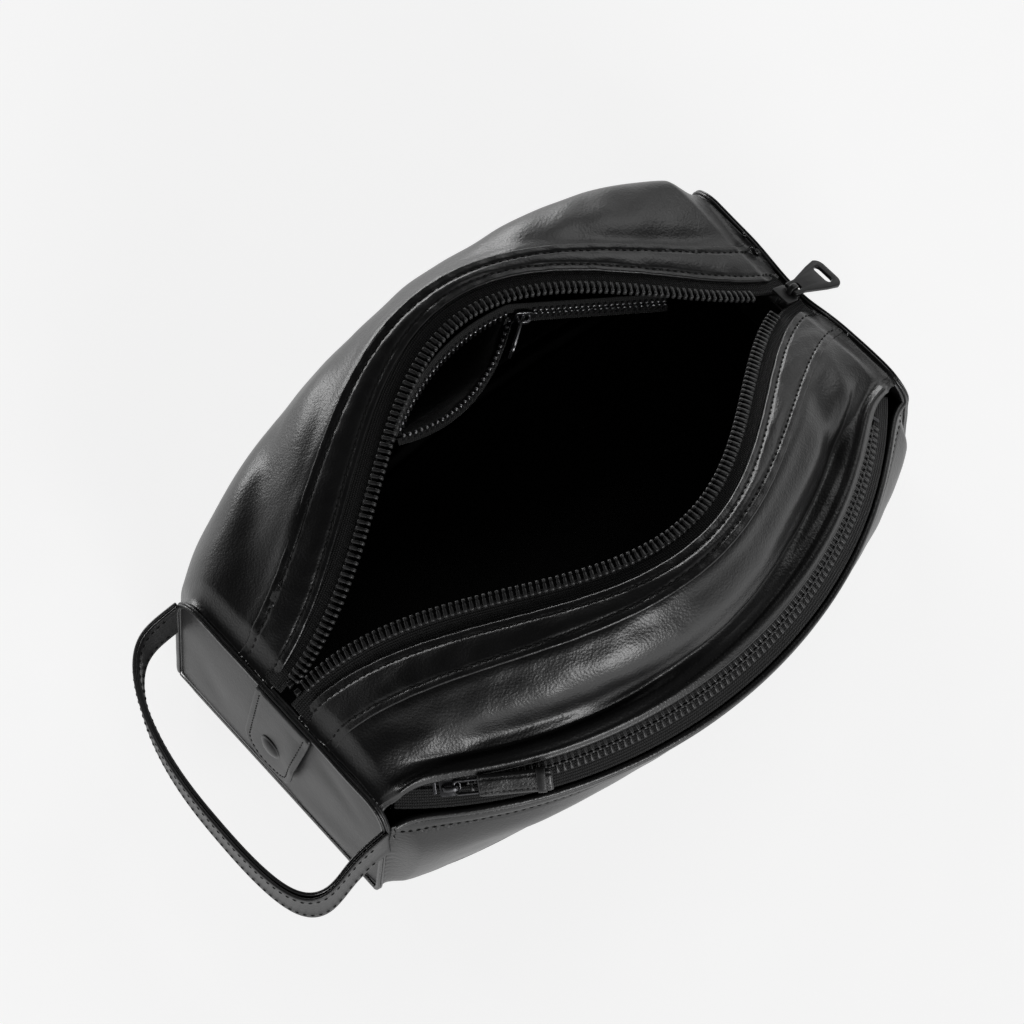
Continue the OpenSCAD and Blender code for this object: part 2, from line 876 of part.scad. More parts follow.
strap_half_y = 60.2;
strap_x = -half_len - end_flare * (1 - strap_z / end_h) - 6.5;
// The loop turns about this place, where its round ends have their centres
strap_pivot_x = strap_x - strap_w / 2 - 0.3;

// Middle line of the strap loop, from the back end to the pocket end
function strap_point(a, inset) =
    let (
        power = 2 / 2.6,
        c = cos(a),
        y = (strap_half_y - inset) * sign(c) * pow(abs(c), power),
        out = (strap_reach + half_len + strap_pivot_x - inset)
            * pow(sin(a), power) * (1 - 0.12 * c)
    )
    [strap_pivot_x - out * cos(strap_droop), y - 3 * sin(a), strap_z - out * sin(strap_droop)];

// One row across the strap, half_w either way from its middle line
function strap_row(p, half_w) = [for (j = [0:3]) p + [0, 0, half_w * (1 - j / 1.5)]];

// The round end of the strap at y
function strap_end(y) =
    [for (i = [1:5]) let (a = 17 * i)
        strap_row([strap_pivot_x + strap_w / 2 * cos(a), y, strap_z], strap_w / 2 * sin(a))];

function strap_grid(inset) =
    let (
        y = strap_half_y - inset,
        back_end = strap_end(y),
        front_end = strap_end(-y)
    )
    concat(
        back_end,
        [for (i = [0:32]) strap_row(strap_point(180 * i / 32, inset), strap_w / 2)],
        [for (i = [4:-1:0]) front_end[i]]
    );

module handle_strap() {
    color(leather_grey) sheet(strap_grid(-strap_t / 2), strap_t / 2 - 0.05);
}

module handle_lining() {
    color(leather) sheet(strap_grid(0.05), strap_t / 2 - 0.05);
}

module handle_root(side) {
    color(leather)
        translate([strap_x + 0.2, side * strap_half_y - strap_t / 2, strap_z - strap_w / 2])
            cube([5.6, strap_t, strap_w]);
}

module handle_root_front() {
    handle_root(-1);
}

module handle_root_back() {
    handle_root(1);
}

base_panel();
base_board();
front_top_panel();
front_pocket_panel();
back_panel();
left_end_panel();
right_end_panel();
left_seam_welt();
right_seam_welt();
front_zip_facing();
back_zip_facing();
front_main_tape();
back_main_tape();
front_main_teeth();
back_main_teeth();
main_top_stops();
main_bottom_stop();
main_slider();
main_puller();
pocket_rim();
pocket_upper_tape();
pocket_lower_tape();
pocket_upper_teeth();
pocket_lower_teeth();
pocket_end_stops();
pocket_slider();
pocket_puller();
pocket_pull_tab();
pocket_pull_clip();
pocket_lining();
end_tab();
stud_cap();
stud_post();
stud_washer();
handle_strap();
handle_lining();
handle_root_front();
handle_root_back();
lining_front();
lining_back();
lining_base();
lining_left();
lining_right();
inner_pocket_panel();
inner_upper_tape();
inner_lower_tape();
inner_upper_teeth();
inner_lower_teeth();
inner_slider();
inner_puller();
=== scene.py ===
"""A soft black leather kit bag: open zip mouth, front pocket with its own zip, inner zip
pocket, studded end tab and a carrying strap at the left end.

Sizes are in millimetres until piece() turns them into metres. X runs along the bag, -Y is
the pocket side and Z is up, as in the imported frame. A wall is stretched over rails, which
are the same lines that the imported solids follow, and its creases, seams and stitches are
laid on top of that.
"""
import json
import math

import bpy
import bmesh
import numpy as np
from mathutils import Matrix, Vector


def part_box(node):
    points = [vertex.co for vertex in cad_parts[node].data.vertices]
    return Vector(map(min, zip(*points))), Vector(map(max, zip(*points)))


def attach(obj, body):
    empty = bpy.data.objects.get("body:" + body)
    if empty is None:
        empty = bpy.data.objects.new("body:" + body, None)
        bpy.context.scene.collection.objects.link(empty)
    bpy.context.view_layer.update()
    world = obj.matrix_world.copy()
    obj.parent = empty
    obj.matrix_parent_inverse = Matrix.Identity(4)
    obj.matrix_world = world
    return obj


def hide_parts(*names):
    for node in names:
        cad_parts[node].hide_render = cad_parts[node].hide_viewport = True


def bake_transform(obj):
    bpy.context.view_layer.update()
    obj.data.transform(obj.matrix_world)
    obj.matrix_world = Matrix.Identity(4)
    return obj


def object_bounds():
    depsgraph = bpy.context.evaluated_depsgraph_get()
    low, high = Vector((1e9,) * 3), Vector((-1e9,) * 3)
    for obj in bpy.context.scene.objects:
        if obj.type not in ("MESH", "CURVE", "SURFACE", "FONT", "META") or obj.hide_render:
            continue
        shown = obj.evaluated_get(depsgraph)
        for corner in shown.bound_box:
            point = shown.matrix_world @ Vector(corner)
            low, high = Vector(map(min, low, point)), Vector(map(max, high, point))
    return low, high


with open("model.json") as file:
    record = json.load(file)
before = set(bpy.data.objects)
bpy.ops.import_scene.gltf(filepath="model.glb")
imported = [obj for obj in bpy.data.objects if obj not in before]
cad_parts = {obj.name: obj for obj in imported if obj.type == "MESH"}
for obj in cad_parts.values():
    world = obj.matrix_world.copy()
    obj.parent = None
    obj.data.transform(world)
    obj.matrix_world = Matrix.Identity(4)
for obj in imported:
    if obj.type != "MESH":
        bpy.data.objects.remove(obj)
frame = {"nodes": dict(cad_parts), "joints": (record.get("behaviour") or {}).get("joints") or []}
cad_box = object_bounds()
JOINTS = {joint["name"]: joint for joint in frame["joints"]}
MM = 0.001

# ---------------------------------------------------------------- sizes

PACKED_FLARE = 5.0   # how far the foot of a packed end panel stands out past its top
END_FLARE = 8.0      # the same here, which is nearer to the photo
HALF_LEN = -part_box("left_end_panel")[0].x / MM - PACKED_FLARE
END_H = 70.5
END_HALF_W = 60.0
LEATHER = 1.6
TOOTH_PITCH = 2.5
CHAIN_PITCH = 2.6
INNER_PITCH = 2.4
STITCH = 3.0
GROOVE_NEAR, GROOVE_FAR = 2.6, 2.9   # the facings' stitched grooves, from their two edges

# A rail is [y at the middle of both ends, extra y towards +s, bow in y, power of the bow,
# lopsidedness of the bow, z at the ends, extra z towards +s, bow in z, its power].
TEETH = [3.2, 0, 56, 2.2, 0.3, 68, -3, 46, 1]
INNER = [8.5, 0, 58, 1.9, 0.22, 69.4, -2, 46.5, 1]
SEAM = [25, 0, 51, 1.7, 0.1, 70.6, -1, 44.5, 0.9]
SHOULDER = [53, 4, 36, 0.75, 0.03, 72, 4, 26.5, 0.8]
BELLY = [60, 0, 34, 0.6, 0, 42, 0, 24, 0.8]
FOOT = [59, 0, 22, 0.7, 0, 10, 0, 2, 1]
HEM = [50, 0, 22, 0.7, 0, 0.4, 0, 0, 1]
BULGE = [39, 0, 48.5, 1.6, 0.02, 73, 0, 30, 0.9]
FOLD = [50, 0, 42, 1.8, 0.02, 72, 0, 15, 1]
POCKET_BELLY = [61, 0, 41, 0.7, 0, 42, 0, 2, 1]
POCKET_FOOT = [59, 0, 27, 0.7, 0, 10, 0, 1, 1]
POCKET_HEM = [51, 0, 33, 0.65, 0, 0.4, 0, 0, 1]
WALL_TOP = [50, 0, 38, 1.5, 0, 61, 0, 18, 1]
WALL_MID = [54, 0, 26, 1.2, 0, 40, 0, 4, 1]
WALL_FOOT = [53, 0, 19, 1, 0, 6, 0, 0, 1]


def end_x(z):
    return HALF_LEN + END_FLARE * (1 - z / END_H)


def rail(k, s, side=1):
    """Points of the rail k at s, an array from -1 at the strap end to 1 at the slider end."""
    bow = np.clip(1 - s * s, 0, None)
    y = k[0] + k[1] * s + k[2] * bow ** k[3] * (1 + k[4] * s)
    z = k[5] + k[6] * s + k[7] * bow ** k[8]
    return np.stack([s * end_x(z), side * y, z], -1)


def spread(count, limit):
    """count values from -limit to limit, closer together towards both ends."""
    return limit * np.sin(np.linspace(-math.pi / 2, math.pi / 2, count))


def across(lines, count):
    """A grid of count columns, smooth across the lines, which are lists of points."""
    p = np.stack(lines, 1)
    spans = p.shape[1] - 1
    q = np.concatenate([2 * p[:, :1] - p[:, 1:2], p, 2 * p[:, -1:] - p[:, -2:-1]], 1)
    v = np.linspace(0, spans, count)
    i = np.minimum(v.astype(int), spans - 1)
    t = (v - i)[None, :, None]
    a, b, c, d = q[:, i], q[:, i + 1], q[:, i + 2], q[:, i + 3]
    return 0.5 * (2 * b + (c - a) * t + (2 * a - 5 * b + 4 * c - d) * t**2
                  + (3 * b - a - 3 * c + d) * t**3)


def interp(places, far, points):
    """Points at some distances along a line; far is the distance of each given point."""
    return np.stack([np.interp(places, far, column) for column in points.T], -1)


def pivot(joint):
    return np.array(JOINTS[joint]["pos_m"]) / MM


def unit(v):
    return v / np.maximum(np.linalg.norm(v, axis=-1, keepdims=True), 1e-12)


def grid_normals(grid):
    return unit(np.cross(np.gradient(grid, axis=0), np.gradient(grid, axis=1)))


def outward(grid, towards):
    """Normals of a grid, turned so that they mostly point along towards."""
    n = grid_normals(grid)
    return n if (n @ np.asarray(towards, float)).mean() > 0 else -n


def travelled(grid, axis):
    """How far each place of a grid is from its first row or column, along the surface."""
    step = np.linalg.norm(np.diff(grid, axis=axis), axis=-1)
    start = np.zeros_like(np.take(step, [0], axis=axis))
    return np.concatenate([start, np.cumsum(step, axis=axis)], axis=axis)


# ---------------------------------------------------------------- materials


class Surface:
    """A node material. Its steps each add a node and give the node's output."""

    def __init__(self, name, weave=False):
        self.material = bpy.data.materials.new(name)
        self.material.use_nodes = True
        self.tree = self.material.node_tree
        self.link = self.tree.links.new
        if weave:
            self.place = self.add("ShaderNodeAttribute", attribute_name="weave").outputs["Vector"]
        else:
            self.place = self.add("ShaderNodeTexCoord").outputs["Object"]

    def add(self, kind, **values):
        made = self.tree.nodes.new(kind)
        for key, value in values.items():
            if key in made.inputs:
                made.inputs[key].default_value = value
            else:
                setattr(made, key, value)
        return made

    def give(self, socket, value):
        """Links an output to a socket of the shader, or sets the socket to a constant."""
        target = self.tree.nodes["Principled BSDF"].inputs[socket]
        if isinstance(value, bpy.types.NodeSocket):
            self.link(value, target)
        else:
            target.default_value = value

    def noise(self, **values):
        made = self.add("ShaderNodeTexNoise", **values)
        self.link(self.place, made.inputs["Vector"])
        return made.outputs["Fac"]

    def ramp(self, source, low, high, at=(0.3, 0.7)):
        """Turns a value from the source into a colour between low and high."""
        made = self.add("ShaderNodeValToRGB")
        for element, position, colour in zip(made.color_ramp.elements, at, (low, high)):
            element.position = position
            element.color = (*colour, 1)
        self.link(source, made.inputs["Fac"])
        return made.outputs["Color"]

    def between(self, source, low, high):
        made = self.add("ShaderNodeMapRange", **{"To Min": low, "To Max": high})
        self.link(source, made.inputs["Value"])
        return made.outputs["Result"]

    def bump(self, height, strength, depth, under=None):
        made = self.add("ShaderNodeBump", Strength=strength, Distance=depth)
        self.link(height, made.inputs["Height"])
        if under is not None:
            self.link(under, made.inputs["Normal"])
        return made.outputs["Normal"]

    def worn(self, colour, shade):
        """Adds a shade to a colour where corners of the surface are rubbed."""
        rub = self.add("ShaderNodeNewGeometry").outputs["Pointiness"]
        edges = self.ramp(rub, (0, 0, 0), shade, (0.53, 0.64))
        total = self.add("ShaderNodeMix", data_type="RGBA", blend_type="ADD")
        total.inputs["Factor"].default_value = 1.0
        self.link(colour, total.inputs[6])
        self.link(edges, total.inputs[7])
        return total.outputs[2]


def leather(name, low, high, rough, pebble=0.3):
    """Smooth full-grain leather: cloudy dye, fine pebbled grain, pores and soft creases."""
    m = Surface(name)
    cloud = m.noise(Scale=38.0, Detail=4.0, Roughness=0.6)
    grain = m.add("ShaderNodeTexVoronoi", feature="SMOOTH_F1", Scale=1150.0, Smoothness=0.6)
    m.link(m.place, grain.inputs["Vector"])
    colour = m.ramp(cloud, low, high, (0.35, 0.7))
    m.give("Base Color", m.worn(colour, (0.014, 0.014, 0.015)))
    m.give("Roughness", m.between(cloud, *rough))
    normal = m.bump(m.noise(Scale=240.0, Detail=3.0, Distortion=0.8), 0.35, 0.0003)
    normal = m.bump(grain.outputs["Distance"], pebble, 0.00025, normal)
    m.give("Normal", m.bump(m.noise(Scale=2600.0, Detail=2.0), 0.12, 0.0001, normal))
    m.give("Specular IOR Level", 0.75)
    return m.material


def woven(name, low, high, across_mm, along_mm, depth, sheen=0.25):
    """Cloth or zip tape with ribs laid out by the piece's own 'weave' coordinates."""
    m = Surface(name, weave=True)
    both = m.add("ShaderNodeMath", operation="MULTIPLY")
    for slot, direction, size in ((0, "X", along_mm), (1, "Y", across_mm)):
        wave = m.add("ShaderNodeTexWave", wave_type="BANDS", bands_direction=direction,
                     Scale=0.314 / (size * MM), Distortion=0.6, Detail=1.0)
        wave.inputs["Detail Scale"].default_value = 2.0
        m.link(m.place, wave.inputs["Vector"])
        m.link(wave.outputs["Fac"], both.inputs[slot])
    ribs = both.outputs["Value"]
    fuzz = m.noise(Scale=900.0, Detail=3.0)
    m.give("Base Color", m.ramp(ribs, low, high, (0.1, 0.8)))
    m.give("Roughness", m.between(fuzz, 0.7, 0.95))
    m.give("Normal", m.bump(fuzz, 0.3, 0.00015, m.bump(ribs, 0.9, depth)))
    m.give("Sheen Weight", sheen)
    m.give("Sheen Roughness", 0.4)
    return m.material


def metal(name, low, high, metallic, rough):
    """Plated or painted metal with brushed scratches and worn edges."""
    m = Surface(name)
    scratches = m.noise(Scale=1500.0, Detail=4.0, Distortion=2.0)
    colour = m.ramp(m.noise(Scale=420.0, Detail=4.0), low, high)
    m.give("Base Color", m.worn(colour, (0.06, 0.06, 0.06)))
    m.give("Roughness", m.between(scratches, *rough))
    m.give("Normal", m.bump(scratches, 0.08, 0.0001))
    m.give("Metallic", metallic)
    return m.material


def thread_material():
    """Black waxed thread with a fine twist."""
    m = Surface("waxed_thread")
    twist = m.noise(Scale=3200.0, Detail=2.0)
    m.give("Base Color", m.ramp(twist, (0.003, 0.003, 0.003), (0.012, 0.012, 0.012)))
    m.give("Roughness", m.between(twist, 0.6, 0.8))
    m.give("Specular IOR Level", 0.3)
    m.give("Normal", m.bump(twist, 0.5, 0.0001))
    return m.material


def board_material():
    """Pressed fibre board."""
    m = Surface("pressed_board")
    fibre = m.noise(Scale=700.0, Detail=6.0, Distortion=1.0)
    m.give("Base Color", m.ramp(fibre, (0.012, 0.011, 0.01), (0.03, 0.027, 0.024)))
    m.give("Normal", m.bump(fibre, 0.4, 0.0002))
    m.give("Roughness", 0.9)
    return m.material


BODY = leather("body_leather", (0.0025, 0.0025, 0.0027), (0.005, 0.005, 0.0053), (0.3, 0.42))
# The panel leather is the body leather made about three times lighter. This is partly a greyer
# leather and partly painted light: the brightness that the end panels, the end tab and the strap's
# outer face pick up from the bright floor and horizon.
PANEL_LEATHER_PAINTED_LIGHTER = leather("panel_leather_painted_light", (0.007, 0.007, 0.0074), (0.012, 0.012, 0.0125),
                (0.42, 0.54), 0.22)
LINING = woven("lining_cloth", (0.0035, 0.0035, 0.004), (0.012, 0.012, 0.0125),
               0.7, 0.7, 0.00015)
TAPE = woven("zip_tape", (0.003, 0.003, 0.003), (0.02, 0.02, 0.021), 1.1, 0.9, 0.0004, 0.1)
TOOTH = metal("black_teeth", (0.008, 0.008, 0.008), (0.014, 0.014, 0.015), 0.1, (0.28, 0.42))
BLACK = metal("black_metal", (0.013, 0.013, 0.013), (0.022, 0.022, 0.023), 0.35, (0.3, 0.45))
NICKEL = metal("dark_nickel", (0.26, 0.26, 0.27), (0.4, 0.4, 0.41), 1.0, (0.24, 0.4))
GUNMETAL = metal("gunmetal", (0.055, 0.055, 0.058), (0.095, 0.095, 0.1), 1.0, (0.26, 0.42))
THREAD = thread_material()

# ---------------------------------------------------------------- building pieces


def ring_of(rows, cols):
    """Indices of a grid's border, once round."""
    top = [(0, j) for j in range(cols)]
    right = [(i, cols - 1) for i in range(1, rows)]
    low = [(rows - 1, j) for j in range(cols - 2, -1, -1)]
    left = [(i, 0) for i in range(rows - 2, 0, -1)]
    return tuple(np.array(top + right + low + left).T)


def quads(rows, cols, start=0, turned=False, wrap=False):
    """Faces of a grid of vertices; wrap joins its last column to its first."""
    i = np.arange(rows - 1)[:, None]
    j = np.arange(cols if wrap else cols - 1)[None, :]
    k = (j + 1) % cols
    faces = np.stack([i * cols + j, i * cols + k, (i + 1) * cols + k, (i + 1) * cols + j], -1)
    faces = faces.reshape(-1, 4) + start
    return faces[:, ::-1] if turned else faces


def shell(grid, normals, thick, rim=4):
    """Vertices and faces of a sheet under the grid, thick all over, with round edges."""
    rows, cols = grid.shape[:2]
    border = ring_of(rows, cols)
    edge = np.zeros_like(grid)
    edge[0] += unit(grid[0] - grid[1])
    edge[-1] += unit(grid[-1] - grid[-2])
    edge[:, 0] += unit(grid[:, 0] - grid[:, 1])
    edge[:, -1] += unit(grid[:, -1] - grid[:, -2])
    base, n, out = grid[border], normals[border], edge[border]
    out = unit(out - (out * n).sum(-1, keepdims=True) * n)
    rings = []
    for k in range(1, rim):
        turn = math.pi * k / rim
        rings.append(base - n * thick / 2 * (1 - math.cos(turn))
                     + out * thick / 2 * math.sin(turn))
    verts = np.concatenate([grid.reshape(-1, 3), *rings,
                            (grid - thick * normals).reshape(-1, 3)])
    last = len(verts) - rows * cols
    first = border[0] * cols + border[1]
    rim_size = len(first)
    loops = [first]
    loops += [rows * cols + k * rim_size + np.arange(rim_size) for k in range(rim - 1)]
    loops.append(last + first)
    faces = [quads(rows, cols), quads(rows, cols, last, True)]
    for a, b in zip(loops, loops[1:]):
        faces.append(np.stack([a, np.roll(a, -1), np.roll(b, -1), b], -1))
    weave = np.stack([travelled(grid, 0), travelled(grid, 1), np.zeros((rows, cols))], -1)
    weave = np.concatenate([weave.reshape(-1, 3), *[weave[border]] * (rim - 1),
                            weave.reshape(-1, 3)])
    return verts, np.concatenate(faces).tolist(), weave


def piece(name, parts, material, body, stands_for=()):
    """Makes one Blender piece from parts, each (vertices in mm, faces) or with weave too."""
    verts, faces, weaves, at = [], [], [], 0
    for part in parts:
        verts.append(np.asarray(part[0], float))
        faces += [[i + at for i in face] for face in part[1]]
        weaves.append(part[2] if len(part) > 2 else np.zeros_like(verts[-1]))
        at += len(verts[-1])
    mesh = bpy.data.meshes.new(name)
    mesh.from_pydata((np.concatenate(verts) * MM).tolist(), [], faces)
    weave = mesh.attributes.new("weave", "FLOAT_VECTOR", "POINT")
    weave.data.foreach_set("vector", (np.concatenate(weaves) * MM).ravel())
    work = bmesh.new()
    work.from_mesh(mesh)
    bmesh.ops.remove_doubles(work, verts=work.verts, dist=1e-6)
    bmesh.ops.recalc_face_normals(work, faces=work.faces)
    work.to_mesh(mesh)
    work.free()
    mesh.polygons.foreach_set("use_smooth", [True] * len(mesh.polygons))
    mesh.materials.append(material)
    obj = bpy.data.objects.new(name, mesh)
    bpy.context.scene.collection.objects.link(obj)
    if body:
        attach(obj, body)
    if stands_for:
        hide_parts(*stands_for)
    return obj


def ripple(points, length, seed):
    """Soft random waves over the points, about -1 to 1, of roughly that wavelength in mm."""
    own = np.random.default_rng(seed)
    total = 0
    for _ in range(7):
        way = own.normal(size=3)
        way *= 2 * math.pi / length / np.linalg.norm(way) * own.uniform(0.7, 1.4)
        total = total + np.sin(points @ way + own.uniform(0, 2 * math.pi))
    return total / 3.5


def crease(x, w, start, end, width, height):
    """A soft ridge (or valley, if height is below 0) between two places (x, w) on a wall."""
    a, b = np.array(start, float), np.array(end, float)
    d = b - a
    t = np.clip(((x - a[0]) * d[0] + (w - a[1]) * d[1]) / (d @ d), 0, 1)
    off = np.hypot(x - a[0] - t * d[0], w - a[1] - t * d[1])
    return height * np.exp(-(off / width) ** 2) * (0.35 + 0.65 * np.sin(math.pi * t))


def line(value, at, width):
    """1 where value is at, falling away within about width."""
    return np.exp(-(((value - at) / width) ** 2))


def stitches(points, normals, pitch=STITCH, gap=0.75, wide=0.62, lift=0.16):
    """A row of single stitches lying on a line, each dipping into its needle holes."""
    far = travelled(points, 0)
    count = int((far[-1] - 2 * gap) // pitch)
    first = (far[-1] - count * pitch) / 2
    t = np.linspace(0, 1, 6)
    places = first + pitch * np.arange(count)[:, None] + gap / 2 + (pitch - gap) * t
    mid = interp(places, far, points)
    up = unit(interp(places, far, normals))
    along = unit(np.gradient(mid, axis=1))
    out = np.cross(along, up)
    hump = np.sin(math.pi * t)[None, :, None]
    mid = mid + up * (lift * hump - 0.3 * (1 - hump))
    sides = len(t)
    angle = np.linspace(0, 2 * math.pi, sides, endpoint=False)
    size = (wide / 2 * (0.55 + 0.45 * hump))[..., None]
    around = (np.cos(angle)[:, None] * out[:, :, None, :]
              + np.sin(angle)[:, None] * up[:, :, None, :])
    verts = (mid[:, :, None, :] + size * around).reshape(-1, 3)
    faces = []
    for base in range(0, count * sides**2, sides**2):
        faces += quads(sides, sides, base, wrap=True).tolist()
        faces.append([base + i for i in range(sides - 1, -1, -1)])
        faces.append([base + sides * (sides - 1) + i for i in range(sides)])
    return verts, faces


def oval(width, height, count=12, power=2.0):
    """A closed outline between an ellipse (power 2) and a rectangle (a high power)."""
    a = np.linspace(0, 2 * math.pi, count, endpoint=False)
    c, s = np.cos(a), np.sin(a)
    return np.stack([width / 2 * np.sign(c) * np.abs(c) ** (2 / power),
                     height / 2 * np.sign(s) * np.abs(s) ** (2 / power)], -1)


def sweep(path, up, outline, closed=False, ends=0.4):
    """Runs an outline of (side, up) points along a path; ends is how much each end tapers."""
    if closed:
        along = unit(np.roll(path, -1, 0) - np.roll(path, 1, 0))
    else:
        along = unit(np.gradient(path, axis=0))
    up = np.broadcast_to(np.asarray(up, float), path.shape)
    out = unit(np.cross(along, up))
    lift = np.cross(out, along)
    count, k = len(path), len(outline)
    scale = np.ones(count)
    if not closed:
        scale[0] = scale[-1] = 1 - ends
    ring = (outline[None, :, :1] * out[:, None, :] + outline[None, :, 1:] * lift[:, None, :])
    verts = (path[:, None, :] + scale[:, None, None] * ring).reshape(-1, 3)
    faces = quads(count, k, wrap=True).tolist()
    if closed:
        last = (count - 1) * k
        faces += [[last + i, last + (i + 1) % k, (i + 1) % k, i] for i in range(k)]
    else:
        faces.append(list(range(k - 1, -1, -1)))
        faces.append([(count - 1) * k + i for i in range(k)])
    far = np.repeat(travelled(path, 0), k)
    turn = np.tile(np.arange(k) * 1.0, count)
    return verts, faces, np.stack([far, turn, 0 * far], -1)


def plate(outlines, thick, edge=0.3):
    """A flat plate, z from 0 to thick, from closed (x, y) outlines: the first is its
    outside and the others are holes. Its edges are rounded by edge."""
    curve = bpy.data.curves.new("plate", "CURVE")
    curve.dimensions = "2D"
    curve.fill_mode = "BOTH"
    curve.extrude = thick / 2 - edge
    curve.bevel_depth = edge
    curve.bevel_resolution = 2
    curve.offset = -edge
    for points in outlines:
        spline = curve.splines.new("POLY")
        spline.points.add(len(points) - 1)
        for point, (x, y) in zip(spline.points, points):
            point.co = (x, y, 0, 1)
        spline.use_cyclic_u = True
    holder = bpy.data.objects.new("plate", curve)
    made = holder.to_mesh()
    verts = np.array([v.co for v in made.vertices]).reshape(-1, 3) + [0, 0, thick / 2]
    faces = [list(f.vertices) for f in made.polygons]
    holder.to_mesh_clear()
    bpy.data.objects.remove(holder)
    bpy.data.curves.remove(curve)
    return verts, faces


def moved(part, axes, origin):
    """A part turned so that its x, y and z run along the rows of axes, then shifted."""
    return (part[0] @ np.asarray(axes) + np.asarray(origin), *part[1:])


def shifted(part, by):
    return moved(part, np.eye(3), by)


def arc(cx, cy, r, a0, a1, count=8):
    a = np.radians(np.linspace(a0, a1, count))
    return np.stack([cx + r * np.cos(a), cy + r * np.sin(a)], -1)


def round_box(x0, x1, y0, y1, r, count=6):
    corners = ((x1 - r, y0 + r, -90), (x1 - r, y1 - r, 0), (x0 + r, y1 - r, 90),
               (x0 + r, y0 + r, 180))
    return np.concatenate([arc(cx, cy, r, a, a + 90, count) for cx, cy, a in corners])


# ---------------------------------------------------------------- leather walls

ROWS = 300
DOWN = (0, 0, -1)
# The right end panel's top edge dips under the main slider, and its back corner stands up.
SLIDER_DIP = 6.5
SLIDER_EAR = 5.0


def end_outline(grow, dip, ear, count=200):
    """Outline of an end panel as (y, z), counted evenly along its length."""
    w, top, low, rt, rl = END_HALF_W + grow, END_H + grow, 0.4, 13 + grow, 10
    y = np.linspace(28, -28, 31)
    edge = np.stack([y, top - dip * (1 + np.cos(math.pi * y / 28)) / 2
                     + ear * np.clip(y / 40, 0, None) ** 2], -1)
    p = np.concatenate([arc(w - rl, low + rl, rl, -90, 0), arc(w - rt, top + ear - rt, rt, 0, 90),
                        edge, arc(rt - w, top - rt, rt, 90, 180),
                        arc(rl - w, low + rl, rl, 180, 270)])
    p = np.concatenate([p, p[:1]])
    far = travelled(p, 0)
    even = np.linspace(0, far[-1], count, endpoint=False)
    return interp(even, far, p)


def fit_to_ends(grid, reach=9.0):
    """Draws both ends of a wall in to the outlines of the end panels they are sewn to."""
    grid = grid.copy()
    for side, outline in ((-1, end_outline(0, 0, 0)), (1, end_outline(0, SLIDER_DIP, SLIDER_EAR))):
        depth = end_x(grid[..., 2]) - side * grid[..., 0]
        pull = np.clip(1 - depth / reach, 0, 1)
        pull = pull * pull * (3 - 2 * pull)
        i, j = np.nonzero(pull > 0.001)
        place = grid[i, j, 1:]
        off = np.linalg.norm(place[:, None] - outline[None], axis=-1)
        target = outline[off.argmin(1)]
        grid[i, j, 1:] = place + pull[i, j, None] * (target - place)
    return grid


def wall(name, lines, cols, towards, shape, material, node, thick=LEATHER):
    """A leather wall over lines; shape(x, w, p) gives how far each place stands out."""
    grid = across(lines, cols)
    n = outward(grid, towards)
    w = travelled(grid, 1)
    grid = fit_to_ends(grid + n * shape(grid[..., 0], w, grid)[..., None])
    n = outward(grid, towards)
    piece(name, [shell(grid, n, thick)], material, "root", [node])
    return grid, n


def at_width(grid, normals, w):
    """The line at the distance w (one, or one for each row) from a grid's first column, and
    its normals."""
    far = travelled(grid, 1)
    w = np.broadcast_to(w, len(grid))
    places = np.array([interp(*row) for row in zip(w, far, grid)])
    return places, unit(np.array([interp(*row) for row in zip(w, far, normals)]))


def near_end(x, reach=9.0):
    """1 at both ends of the bag, falling to 0 within reach of them."""
    return np.exp(-(((HALF_LEN - np.abs(x)) / reach) ** 2))


def facing(side, name, node):
    """The leather strip beside the zip: two stitched grooves with a soft crown between."""
    s = spread(ROWS, 0.993)
    y_out = np.array([0, side, 0.0])
    lines = [rail(INNER, s, side), 0.5 * (rail(INNER, s, side) + rail(SEAM, s, side))
             + [0, 0, 0.3], rail(SEAM, s, side) + 0.6 * y_out + [0, 0, 0.7]]

    def shape(x, w, p):
        total = w[:, -1:]
        grooves = line(w, GROOVE_NEAR, 0.75) + line(w, total - GROOVE_FAR, 0.8)
        part = np.clip((w - GROOVE_NEAR) / (total - GROOVE_NEAR - GROOVE_FAR), 0, 1)
        puff = np.clip(np.sin(math.pi * part), 0, 1)
        pucker = 0.12 * np.sin(2 * math.pi * x / (2.4 * STITCH) + side) * (1 - puff)
        soft = 0.45 * ripple(p, 34, 11 + side) * puff + 0.16 * ripple(p, 11, 5 + side)
        return -0.42 * grooves + 0.5 * puff + pucker * 0.6 + soft

    grid, n = wall(name, lines, 46, (0, 0.2 * side, 1), shape, BODY, node,
                   LEATHER - 0.1)
    edges = (GROOVE_NEAR, travelled(grid, 1)[:, -1] - GROOVE_FAR)
    rows = [stitches(*at_width(grid, n, w)) for w in edges]
    piece(name.replace("facing", "facing_thread"), rows, THREAD, "root")


facing(-1, "zip_facing_front", "front_zip_facing")
facing(1, "zip_facing_back", "back_zip_facing")


def tucked_seam(s, side):
    """The first two lines of a wall: its edge under the facing, and where it comes out."""
    seam = rail(SEAM, s, side)
    return [seam + [0, -2.2 * side, -2.1], seam + [0, 1.2 * side, -0.55]]


def creased(total, x, w, folds):
    for fold in folds:
        total = total + crease(x, w, *fold)
    return total


def settled(total, x):
    """Calms a wall's shape towards both ends of the bag, where it is sewn down."""
    return total * (1 - 0.8 * near_end(x)) - 0.25 * near_end(x, 3)


